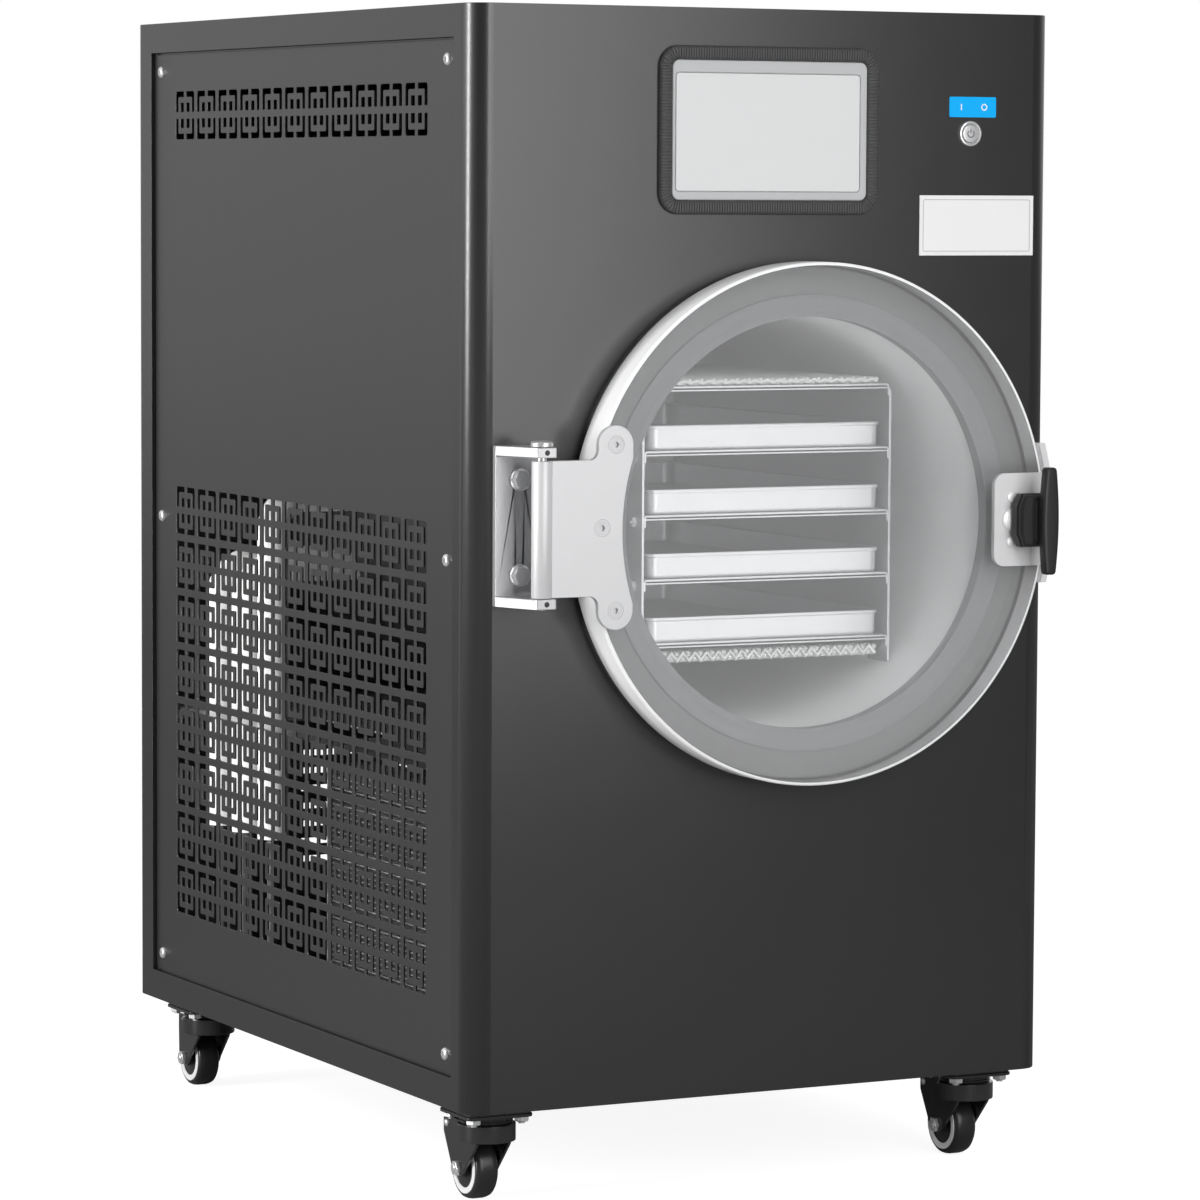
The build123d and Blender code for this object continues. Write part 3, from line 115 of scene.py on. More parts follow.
def rectangle(low: tuple, high: tuple, radius: float = 0.0, steps: int = 4) -> list:
    """Outline of an upright rectangle.

    Args:
        low: lowest corner (u, v).
        high: highest corner (u, v).
        radius: radius of its corners.
        steps: straight runs in each corner.

    Returns:
        The outline, anticlockwise.
    """
    corners = [(low[0], low[1]), (high[0], low[1]), (high[0], high[1]), (low[0], high[1])]
    return rounded(corners, radius, steps) if radius else corners


def circle(centre: tuple, radius: float, steps: int = 24) -> list:
    """Outline of a circle.

    Args:
        centre: (u, v).
        radius: distance of each point from the centre.
        steps: number of points.

    Returns:
        The outline, anticlockwise.
    """
    turns = [2 * math.pi * k / steps for k in range(steps)]
    return [(centre[0] + radius * math.cos(t), centre[1] + radius * math.sin(t))
            for t in turns]


def even_loop(outline: list, count: int) -> list:
    """Points evenly spaced along a closed outline.

    Args:
        outline: the outline's points.
        count: how many points to return.

    Returns:
        The points, each with its outward direction: ((u, v), (du, dv)).
    """
    runs = [(Vector(a), Vector(b)) for a, b in zip(outline, outline[1:] + outline[:1])]
    runs = [(a, b) for a, b in runs if (b - a).length > 1e-9]
    total = sum((b - a).length for a, b in runs)
    out, passed, index = [], 0.0, 0
    for k in range(count):
        want = total * k / count
        while passed + (runs[index][1] - runs[index][0]).length < want:
            passed += (runs[index][1] - runs[index][0]).length
            index += 1
        a, b = runs[index]
        along = (b - a).normalized()
        spot = a + along * (want - passed)
        out.append(((spot.x, spot.y), (along.y, -along.x)))
    return out


def hexagon(centre: tuple, across: float, runs: int = 4) -> list:
    """Outline of a hexagon with points along its sides.

    Args:
        centre: (u, v).
        across: distance across its flats.
        runs: straight runs in each side.

    Returns:
        The outline, anticlockwise.
    """
    count = 6 * runs
    out = []
    for k in range(count):
        turn = 2 * math.pi * k / count
        reach = across / 2 / math.cos(turn % (math.pi / 3) - math.pi / 6)
        out.append((centre[0] + reach * math.cos(turn), centre[1] + reach * math.sin(turn)))
    return out


def dome(radius: float, rise: float, foot: float, sign: int, steps: int = 6) -> list:
    """Profile of a domed head."""
    turns = [math.pi / 2 * k / steps for k in range(steps + 1)]
    return [(radius * math.sin(t), foot + sign * rise * math.cos(t)) for t in turns]


def button_head(radius: float, height: float, sign: int = 1) -> list:
    """Profile of a screw's domed head with a socket.

    Args:
        radius: radius of the head.
        height: height of the head.
        sign: 1 where it stands up along the axis, -1 where it points the other way.

    Returns:
        (radius, distance) of each point.
    """
    socket = radius * 0.42
    return [(0.0, sign * height * 0.35), (socket, sign * height * 0.35),
            (socket, sign * height * 0.97), (radius * 0.62, sign * height * 0.93),
            (radius * 0.84, sign * height * 0.68), (radius * 0.96, sign * height * 0.32),
            (radius, 0.0)]


class Plane(Enum):
    """The plane an outline is drawn on; it is raised along the third axis."""

    FRONT = Matrix(((1, 0, 0), (0, 0, -1), (0, 1, 0)))      # (x, z), raised to the front
    SIDE = Matrix(((0, 0, 1), (1, 0, 0), (0, 1, 0)))        # (y, z), raised to the right
    FLAT = Matrix(((1, 0, 0), (0, 1, 0), (0, 0, 1)))        # (x, y), raised upwards


@dataclass(frozen=True)
class Span:
    """Box of a node of the frame, in millimetres."""

    lo: Vector
    hi: Vector

    @property
    def mid(self) -> Vector:
        """Middle of the box."""
        return (self.lo + self.hi) / 2

    @property
    def size(self) -> Vector:
        """Size of the box."""
        return self.hi - self.lo

    def face(self, inset: float = 0.0, radius: float = 0.0, steps: int = 4) -> list:
        """Outline of the box seen from the front."""
        return rectangle((self.lo.x + inset, self.lo.z + inset),
                         (self.hi.x - inset, self.hi.z - inset), radius, steps)


def span(node: str) -> Span:
    """Box of a node."""
    lo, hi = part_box(node)
    return Span(lo / MM, hi / MM)


def soften(node: str, radius: float, steps: int = 1) -> None:
    """Round the edges of a node of the frame.

    Args:
        node: the node's name.
        radius: radius of the edges.
        steps: runs in each rounded edge.
    """
    piece = frame["nodes"][node]
    weld = piece.modifiers.new("weld", "WELD")
    weld.merge_threshold = WELD_REACH * MM
    bevel = piece.modifiers.new("edges", "BEVEL")
    bevel.width = radius * MM
    bevel.segments = steps
    bevel.limit_method = "ANGLE"
    bevel.angle_limit = math.radians(EDGE_ANGLE)
    bevel.use_clamp_overlap = True
    bevel.harden_normals = True


# ------------------------------------------------------------------ finishes
class Grain(Enum):
    """How the fine surface of a finish varies."""

    SPECKLE = "fine orange peel of a powder coat"
    BRUSHED = "long parallel scratches"
    MOULDED = "fine even plastic grain"
    MOTTLED = "soft uneven patches"
    WOVEN = "crossing threads"


GRAIN_DETAIL = {Grain.SPECKLE: 1.0, Grain.BRUSHED: 4.0, Grain.MOULDED: 3.0, Grain.MOTTLED: 2.0}
PATCH_SIZE = 30.0           # size of the broad patches of every finish
ROUGH_SWING = 1.5           # the roughness varies by this times the mottle
WAVE_SCALE = 0.314          # a wave of this scale repeats once in a unit


class Nodes:
    """Node tree of a material or of the world, built node by node."""

    def __init__(self, owner: bpy.types.ID) -> None:
        """Turn the owner's nodes on and keep its tree."""
        owner.use_nodes = True
        self.tree = owner.node_tree

    def feed(self, node: bpy.types.Node, inputs: dict) -> None:
        """Set the inputs of a node, or link them.

        Args:
            node: the node.
            inputs: a value, or the socket to link, by the input's name or number.
        """
        for key, value in inputs.items():
            if isinstance(value, bpy.types.NodeSocket):
                self.tree.links.new(value, node.inputs[key])
            else:
                node.inputs[key].default_value = value

    def add(self, kind: str, inputs: dict = None) -> bpy.types.Node:
        """Add a node.

        Args:
            kind: the node's type.
            inputs: its inputs, as in feed.

        Returns:
            The node.
        """
        node = self.tree.nodes.new(kind)
        self.feed(node, inputs or {})
        return node

    def math(self, operation: str, *values) -> bpy.types.NodeSocket:
        """Add a calculation.

        Args:
            operation: its name.
            values: numbers or sockets.

        Returns:
            The socket with the result.
        """
        node = self.add("ShaderNodeMath")
        node.operation = operation
        self.feed(node, dict(enumerate(values)))
        return node.outputs[0]

    def blend(self, share: bpy.types.NodeSocket, first: bpy.types.Node,
              second: bpy.types.Node) -> bpy.types.Node:
        """Mix two shaders."""
        return self.add("ShaderNodeMixShader",
                        {0: share, 1: first.outputs[0], 2: second.outputs[0]})

    def in_view(self) -> bpy.types.NodeSocket:
        """Tell the rays that show a background, straight or through clear pieces.

        Returns:
            The socket that is 1 on these rays and 0 on others.
        """
        rays = self.add("ShaderNodeLightPath")
        return self.math("MAXIMUM", rays.outputs["Is Camera Ray"],
                         rays.outputs["Is Transmission Ray"])

    def noise(self, size: float, detail: float,
              stretch: tuple = (1.0, 1.0, 1.0)) -> bpy.types.NodeSocket:
        """Add noise with features of one size, stretched along the axes.

        Args:
            size: size of the features in millimetres.
            detail: how many finer layers it has.
            stretch: length of the features along x, y and z over their width.

        Returns:
            The socket with the noise.
        """
        place = self.add("ShaderNodeTexCoord")
        scale = self.add("ShaderNodeMapping", {
            "Vector": place.outputs["Object"],
            "Scale": [1 / (size * MM * s) for s in stretch]})
        noise = self.add("ShaderNodeTexNoise", {
            "Vector": scale.outputs[0], "Scale": 1.0, "Detail": detail})
        return noise.outputs["Fac"]


@dataclass(frozen=True)
class Finish:
    """One finish, made once as a material.

    Attributes:
        slot: the record's material slot.
        colour: colour as red, green and blue from 0 to 1.
        roughness: middle of the roughness.
        metallic: 1 on bare metal.
        grain: how the surface varies.
        size: size of the grain in millimetres.
        depth: height of the grain in millimetres.
        mottle: share by which the colour and the roughness vary.
        stretch: length of the grain along x, y and z over its width.
        coat: weight of a clear coat.
        gloss: strength of the reflection, 0.5 on plain paint.
        name: the material's name, where one slot has two finishes.
    """

    slot: str
    colour: tuple
    roughness: float
    metallic: float = 0.0
    grain: Grain = Grain.MOULDED
    size: float = 1.0
    depth: float = 0.01
    mottle: float = 0.08
    stretch: tuple = (1.0, 1.0, 1.0)
    coat: float = 0.0
    gloss: float = 0.5
    name: str = ""

    def material(self) -> bpy.types.Material:
        """Make the finish as a node material, or return the one made before.

        Returns:
            The material.
        """
        title = "finish_" + (self.name or self.slot)
        made = bpy.data.materials.get(title)
        if made:
            return made
        material = bpy.data.materials.new(title)
        material.diffuse_color = (*self.colour, 1.0)
        nodes = Nodes(material)
        grain = self._grain(nodes)
        patches = nodes.noise(PATCH_SIZE, 2.0)
        level = nodes.math("MULTIPLY_ADD", grain, 0.5, nodes.math("MULTIPLY", patches, 0.5))
        blend = nodes.add("ShaderNodeMix")
        blend.data_type = "RGBA"
        nodes.feed(blend, {"Factor": level, "A": self._shade(1.0 - self.mottle),
                           "B": self._shade(1.0 + self.mottle)})
        swing = ROUGH_SWING * self.mottle
        rough = nodes.add("ShaderNodeMapRange", {
            "Value": level, "To Min": self.roughness * (1 - swing),
            "To Max": self.roughness * (1 + swing)})
        bump = nodes.add("ShaderNodeBump", {
            "Height": grain, "Strength": 1.0, "Distance": self.depth * MM})
        nodes.feed(nodes.tree.nodes["Principled BSDF"], {
            "Base Color": blend.outputs["Result"], "Roughness": rough.outputs[0],
            "Normal": bump.outputs[0], "Metallic": self.metallic,
            "Coat Weight": self.coat, "Specular IOR Level": self.gloss})
        return material

    def _shade(self, level: float) -> tuple:
        """Colour of the finish, lighter or darker."""
        return (*[min(1.0, c * level) for c in self.colour], 1.0)

    def _grain(self, nodes: Nodes) -> bpy.types.NodeSocket:
        """Height of the fine surface.

        Args:
            nodes: the material's nodes.

        Returns:
            The socket with the height from 0 to 1.
        """
        if self.grain is not Grain.WOVEN:
            return nodes.noise(self.size, GRAIN_DETAIL[self.grain], self.stretch)
        place = nodes.add("ShaderNodeTexCoord")
        threads = []
        for axis in ("X", "Y"):
            wave = nodes.add("ShaderNodeTexWave", {
                "Vector": place.outputs["Object"], "Distortion": 1.5,
                "Scale": WAVE_SCALE / (self.size * MM)})
            wave.bands_direction = axis
            threads.append(wave.outputs["Fac"])
        return nodes.math("MAXIMUM", *threads)


@dataclass(frozen=True)
class Acrylic:
    """Clear acrylic that lets light through onto what lies behind it.

    Attributes:
        slot: the record's material slot.
        name: the material's name.
        roughness: roughness of the surface.
        tint: colour of the light that comes through.
        sheen: roughness of the reflection from the face.
        painted_sheen_haze: share of the light that the acrylic scatters as a milky diffuse layer,
            a painted sheen in place of the lamps' reflection on the clear door.
        index: index of refraction.
    """

    slot: str = "clear_acrylic"
    name: str = "finish_clear_acrylic"
    roughness: float = 0.015
    tint: tuple = (0.90, 0.905, 0.91)
    sheen: float = 0.28
    painted_sheen_haze: float = 0.12
    index: float = 1.49

    def material(self) -> bpy.types.Material:
        """Make the material, or return the one made before.

        Returns:
            The material.
        """
        made = bpy.data.materials.get(self.name)
        if made:
            return made
        material = bpy.data.materials.new(self.name)
        nodes = Nodes(material)
        place = nodes.add("ShaderNodeTexCoord")
        noise = nodes.add("ShaderNodeTexNoise", {
            "Vector": place.outputs["Object"], "Scale": 60.0, "Detail": 6.0})
        rough = nodes.add("ShaderNodeMapRange", {
            "Value": noise.outputs["Fac"], "To Min": self.roughness * 0.3,
            "To Max": self.roughness * 1.7})
        shader = nodes.tree.nodes["Principled BSDF"]
        # part of the light goes to a milky diffuse layer instead of through the acrylic: a painted
        # sheen that stands in for the reflection of the lamps kept off the door
        nodes.feed(shader, {
            "Base Color": (*self.tint, 1.0), "IOR": self.index,
            "Transmission Weight": 1.0 - self.painted_sheen_haze, "Specular IOR Level": 0.0,
            "Coat Weight": 0.8, "Coat Roughness": self.sheen,
            "Roughness": rough.outputs[0]})
        clear = nodes.add("ShaderNodeBsdfTransparent", {"Color": (*self.tint, 1.0)})
        rays = nodes.add("ShaderNodeLightPath")
        mix = nodes.blend(rays.outputs["Is Shadow Ray"], shader, clear)
        nodes.feed(nodes.tree.nodes["Material Output"], {"Surface": mix.outputs[0]})
        return material


COAT = Finish("cabinet_coat", (0.018, 0.018, 0.0185), 0.29, grain=Grain.SPECKLE,
              size=1.3, depth=0.045, mottle=0.06, gloss=0.75)
PANEL = Finish("panel_coat", (0.020, 0.020, 0.0205), 0.36, grain=Grain.SPECKLE,
               size=1.3, depth=0.045, mottle=0.06, gloss=0.75)
ZINC = Finish("zinc_sheet", (0.55, 0.55, 0.56), 0.42, 1.0, Grain.MOTTLED, 9.0, 0.01, 0.14)
DRUM = Finish("drum_steel", (0.84, 0.84, 0.84), 0.50, 0.30, Grain.BRUSHED, 0.35, 0.004,
              0.08, (60.0, 1.0, 60.0))
FLANGE = Finish("drum_steel", (0.22, 0.22, 0.22), 0.5, 0.6, Grain.MOTTLED, 5.0, 0.003, 0.05,
                name="drum_flange")
GASKET = Finish("gasket_rubber", (0.24, 0.24, 0.245), 0.5, size=0.8, depth=0.01)
RACK = Finish("rack_steel", (0.66, 0.66, 0.67), 0.38, 0.8, Grain.BRUSHED, 0.3, 0.004,
              0.08, (1.0, 60.0, 1.0))
TRAY = Finish("tray_steel", (0.72, 0.72, 0.73), 0.36, 0.8, Grain.BRUSHED, 0.3, 0.004,
              0.06, (60.0, 1.0, 1.0))
WEAVE = Finish("heater_weave", (0.85, 0.85, 0.84), 0.8, grain=Grain.WOVEN, size=1.6,
               depth=0.4, mottle=0.1)
TRIM = Finish("trim_rubber", (0.07, 0.07, 0.072), 0.5, size=0.5, depth=0.02)
SCREEN = Finish("screen_frame", (0.50, 0.51, 0.52), 0.4, size=0.5, depth=0.006, mottle=0.04)
DISPLAY = Finish("display", (0.71, 0.715, 0.72), 0.42, size=4.0, depth=0.0005, mottle=0.01)
RING = Finish("button_steel", (0.80, 0.80, 0.80), 0.25, 0.7, Grain.BRUSHED, 0.2, 0.001)
CAP = Finish("button_face", (0.66, 0.66, 0.67), 0.35, 0.6, Grain.BRUSHED, 0.2, 0.002)
BLUE = Finish("blue_film", (0.0, 0.44, 0.98), 0.35, size=0.6, depth=0.003, mottle=0.02,
              gloss=0.2)
WHITE = Finish("white_film", (0.88, 0.88, 0.88), 0.3, size=0.6, depth=0.003, mottle=0.02)
HINGE = Finish("hinge_steel", (0.66, 0.66, 0.67), 0.44, 0.25, Grain.BRUSHED, 0.25, 0.003,
               0.06, (60.0, 1.0, 1.0))
BRACKET = Finish("bracket_steel", (0.50, 0.50, 0.51), 0.34, 0.5, Grain.BRUSHED, 0.5, 0.002,
                 0.10, (1.0, 1.0, 40.0))
PLATE = Finish("hinge_steel", (0.80, 0.80, 0.81), 0.36, 0.3, Grain.BRUSHED, 0.5, 0.002, 0.08,
               (1.0, 1.0, 40.0), name="latch_plate")
DOME = Finish("hinge_steel", (0.86, 0.86, 0.86), 0.42, 0.35, Grain.MOTTLED, 1.5, 0.003, 0.04,
              name="dome_steel")
BOLT = Finish("bolt_steel", (0.76, 0.76, 0.77), 0.32, 0.7, Grain.MOTTLED, 1.5, 0.004)
HANDLE = Finish("handle_black", (0.013, 0.013, 0.0135), 0.42, size=0.5, depth=0.01)
FORK = Finish("fork_black", (0.02, 0.02, 0.021), 0.25, grain=Grain.MOTTLED, size=3.0,
              depth=0.01, coat=0.4)
RUBBER = Finish("wheel_rubber", (0.02, 0.02, 0.021), 0.33, size=0.6, depth=0.01)
FINS = Finish("coil_fins", (0.45, 0.45, 0.455), 0.45, 0.5, Grain.BRUSHED, 0.6, 0.01,
              0.15, (1.0, 30.0, 1.0))
SHROUD = Finish("shroud_black", (0.03, 0.03, 0.03), 0.4, grain=Grain.SPECKLE, size=1.2)
FAN = Finish("fan_plastic", (0.04, 0.04, 0.04), 0.4, size=0.8)
TANK = Finish("compressor_black", (0.02, 0.02, 0.02), 0.28, grain=Grain.MOTTLED, size=6.0,
              depth=0.02)
FOAM = Finish("pipe_foam", (0.82, 0.82, 0.81), 0.85, grain=Grain.MOTTLED, size=1.4,
              depth=0.12, mottle=0.06)
INLET = Finish("inlet_black", (0.03, 0.03, 0.03), 0.4, size=0.5)
CLEAR = Acrylic()
# the disc's outer band is opaque and near white: partly the frosted look of its turned edge,
# partly painted glow of the light that leaves the disc through its edge
RIM = Finish("clear_acrylic", (0.96, 0.965, 0.97), 0.6, 0.0, Grain.BRUSHED, 0.4, 0.004, 0.05,
             (30.0, 1.0, 30.0), coat=0.1, name="turned_edge_with_painted_glow")
FINISHES = (COAT, PANEL, ZINC, DRUM, GASKET, RACK, TRAY, WEAVE, TRIM, SCREEN, DISPLAY, RING,
            CAP, BLUE, WHITE, CLEAR, HINGE, BRACKET, BOLT, HANDLE, FORK, RUBBER, FINS,
            SHROUD, FAN, TANK, FOAM, INLET)


# ------------------------------------------------------------------ mesh making
class Shape:
    """A mesh collected in millimetres and placed as one piece."""

    def __init__(self) -> None:
        """Start with nothing in the mesh."""
        self.bm = bmesh.new()

    def slab(self, outline: list, low: float, high: float, plane: Plane, holes: list = (),
             edge: float = 0.3, steps: int = 1) -> "Shape":
        """Add a plate with holes and rounded edges.

        Args:
            outline: the plate's outline on the plane.
            low: its lower face along the third axis of the frame.
            high: its upper face.
            plane: the plane of the outline.
            holes: outlines of the holes.
            edge: radius of every edge.
            steps: runs in the rounded edge.

        Returns:
            This shape.
        """
        data = bpy.data.curves.new("work", "CURVE")
        data.dimensions = "2D"
        data.fill_mode = "BOTH"
        data.extrude = (high - low) / 2 - edge
        data.bevel_depth = edge
        data.bevel_resolution = steps
        data.offset = -edge
        for loop in (outline, *holes):
            spline = data.splines.new("POLY")
            spline.points.add(len(loop) - 1)
            for point, (u, v) in zip(spline.points, loop):
                point.co = (u, v, 0.0, 1.0)
            spline.use_cyclic_u = True
        helper = bpy.data.objects.new("work", data)
        mesh = bpy.data.meshes.new_from_object(helper)
        middle = (low + high) / 2
        lift = {Plane.FRONT: (0, middle, 0), Plane.SIDE: (middle, 0, 0),
                Plane.FLAT: (0, 0, middle)}[plane]
        mesh.transform(Matrix.Translation(lift) @ plane.value.to_4x4())
        self.bm.from_mesh(mesh)
        bpy.data.objects.remove(helper)
        bpy.data.curves.remove(data)
        bpy.data.meshes.remove(mesh)
        return self

    def lathe(self, profile: list, centre: tuple, axis: str = "y", steps: int = 48,
              closed: bool = False) -> "Shape":
        """Add a turned body.

        Args:
            profile: (radius, distance along the axis) of each point.
            centre: point on the axis that the distances start from.
            axis: x, y or z.
            steps: runs around the axis.
            closed: whether the profile's last point joins its first.

        Returns:
            This shape.
        """
        a, b, along = AXES[axis]
        rings = []
        for radius, reach in profile:
            base = Vector(centre) + along * reach
            turns = [2 * math.pi * k / steps for k in range(steps)]
            rings.append([base] if radius < 1e-6 else [
                base + a * (radius * math.cos(t)) + b * (radius * math.sin(t))
                for t in turns])
        return self.skin(rings, closed)

    def skin(self, rings: list, closed: bool = False) -> "Shape":
        """Cover successive rings of points with faces.

        Args:
            rings: the points of each ring; a ring of one point is a tip.
            closed: whether the last ring joins the first; else the ends are capped.

        Returns:
            This shape.
        """
        rings = [[self.bm.verts.new(point) for point in ring] for ring in rings]
        pairs = list(zip(rings, rings[1:])) + ([(rings[-1], rings[0])] if closed else [])
        faces = [face for pair in pairs for face in self._bridge(*pair)]
        if not closed:
            faces += [self.bm.faces.new(ring) for ring in (rings[0], rings[-1])
                      if len(ring) > 1]
        bmesh.ops.recalc_face_normals(self.bm, faces=faces)
        return self

    def _bridge(self, first: list, second: list) -> list:
        """Join two rings of points with faces.

        Args:
            first: one ring, or a single point.
            second: the next ring, or a single point.

        Returns:
            The new faces.
        """
        count = max(len(first), len(second))
        faces = []
        for k in range(count):
            j = (k + 1) % count
            corners = [first[k % len(first)], first[j % len(first)],
                       second[j % len(second)], second[k % len(second)]]
            kept = [c for i, c in enumerate(corners) if c not in corners[:i]]
            if len(kept) > 2:
                faces.append(self.bm.faces.new(kept))
        return faces

    def stack(self, loops: list, plane: Plane) -> "Shape":
        """Add a body through outlines at successive heights.

        Args:
            loops: (outline, height) pairs; every outline has as many points.
            plane: the plane of the outlines; heights are along its third axis.

        Returns:
            This shape.
        """
        turn = plane.value
        normal = turn @ Vector((0, 0, 1))
        sign = normal.x + normal.y + normal.z
        return self.skin([[turn @ Vector((u, v, sign * height)) for u, v in outline]
                          for outline, height in loops])

    def tube(self, points: list, radius: float, steps: int = 10) -> "Shape":
        """Add a round bar along a path.

        Args:
            points: the path's points.
            radius: radius of the bar.
            steps: runs around it.

        Returns:
            This shape.
        """
        path = [Vector(p) for p in points]
        turns = [2 * math.pi * k / steps for k in range(steps)]
        rings = []
        side = None
        for i, here in enumerate(path):
            along = (path[min(i + 1, len(path) - 1)] - path[max(i - 1, 0)]).normalized()
            if side is None:
                guess = Vector((0, 0, 1)) if abs(along.z) < 0.9 else Vector((1, 0, 0))
                side = along.cross(guess).normalized()
            side = (side - along * side.dot(along)).normalized()
            up = along.cross(side)
            rings.append([here + radius * (side * math.cos(t) + up * math.sin(t))
                          for t in turns])
        return self.skin(rings)

    def block(self, low: tuple, high: tuple, edge: float = 0.5) -> "Shape":
        """Add a block with rounded edges."""
        return self.slab(rectangle(low[:2], high[:2], max(edge, 0.2), 3), low[2], high[2],
                         Plane.FLAT, edge=edge, steps=2)

    def nut(self, spot: tuple, across: float, heights: tuple, plane: Plane,
            crowns: tuple = (0.45,)) -> "Shape":
        """Add a hexagonal nut or bolt head with a turned crown.

        Args:
            spot: its middle on the plane.
            across: distance across its flats.
            heights: its foot, its shoulder, and one height for each crown.
            plane: the plane of its foot.
            crowns: radii of the crown's rings over the distance across flats.

        Returns:
            This shape.
        """
        flats = hexagon(spot, across)
        loops = [(flats, heights[0]), (flats, heights[1])]
        loops += [(circle(spot, across * share), height)
                  for share, height in zip(crowns, heights[2:])]
        return self.stack(loops, plane)

    def place(self, name: str, finish: Finish | Acrylic, body: str = "cabinet",
              replaces: tuple = (), smooth: float = 35.0) -> bpy.types.Object:
        """Turn the mesh into a piece that rides on a body.

        Args:
            name: the piece's name.
            finish: its finish.
            body: the body it rides on.
            replaces: the nodes that it stands for.
            smooth: angle in degrees over which an edge looks sharp.

        Returns:
            The piece.
        """
        bmesh.ops.remove_doubles(self.bm, verts=self.bm.verts, dist=1e-4)
        self.bm.transform(Matrix.Scale(MM, 4))
        mesh = bpy.data.meshes.new(name)
        self.bm.to_mesh(mesh)
        self.bm.free()
        mesh.shade_smooth()
        mesh.set_sharp_from_angle(angle=math.radians(smooth))
        piece = bpy.data.objects.new(name, mesh)
        flat = piece.modifiers.new("flat faces", "WEIGHTED_NORMAL")
        flat.keep_sharp = True
        bpy.context.scene.collection.objects.link(piece)
        mesh.materials.append(finish.material())
        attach(piece, body)
        if replaces:
            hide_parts(*replaces)
        return piece


# ------------------------------------------------------------------ studio
@dataclass(frozen=True)
class Lamp:
    """Soft rectangular lamp.

    Attributes:
        name: its name.
        place: its middle.
        target: the point that it faces.
        size: its width and height.
        power: its power in watts.
    """

    name: str
    place: tuple
    target: tuple
    size: tuple
    power: float

    def build(self) -> bpy.types.Object:
        """Make the lamp.

        Returns:
            The lamp.
        """
        data = bpy.data.lights.new(self.name, "AREA")
        data.shape = "RECTANGLE"
        data.size, data.size_y = (s * MM for s in self.size)
        data.energy = self.power
        lamp = bpy.data.objects.new(self.name, data)
        bpy.context.scene.collection.objects.link(lamp)
        facing = (Vector(self.target) - Vector(self.place)).to_track_quat("-Z", "Y")
        lamp.matrix_world = Matrix.Translation(Vector(self.place) * MM) @ (
            facing.to_matrix().to_4x4())
        lamp.visible_camera = False
        lamp.visible_transmission = False
        return lamp


KEY = Lamp("key", (300.0, -1700.0, 930.0), (0.0, -300.0, 620.0), (760.0, 1300.0), 10.2)
LAMPS = (
    Lamp("side", (-2300.0, 900.0, 1300.0), (-240.0, 0.0, 480.0), (1200.0, 1200.0), 3.2),
    Lamp("edge", (-2490.0, -40.0, 640.0), (-240.0, -280.0, 500.0), (300.0, 1900.0), 60.0),
    Lamp("line", (-150.0, -2100.0, 700.0), (-240.0, -300.0, 560.0), (120.0, 1700.0), 9.0),
    Lamp("chamber", (27.5, -297.0, 500.5), (27.5, 0.0, 500.5), (250.0, 250.0), 0.15),
    Lamp("risers", (-236.5, 172.0, 300.0), (-200.0, 172.0, 300.0), (190.0, 400.0), 0.28),
    Lamp("fins", (-236.5, -125.0, 195.0), (-200.0, -125.0, 195.0), (230.0, 215.0), 0.03))
# what bright metal sees of the studio's walls: (heading in degrees, level)
WALLS = ((-180, 1.0), (-160, 0.4), (-145, 0.0), (-95, 0.0), (-60, 0.05), (-25, 0.15),
         (15, 0.8), (60, 1.0), (120, 0.62), (180, 1.0))


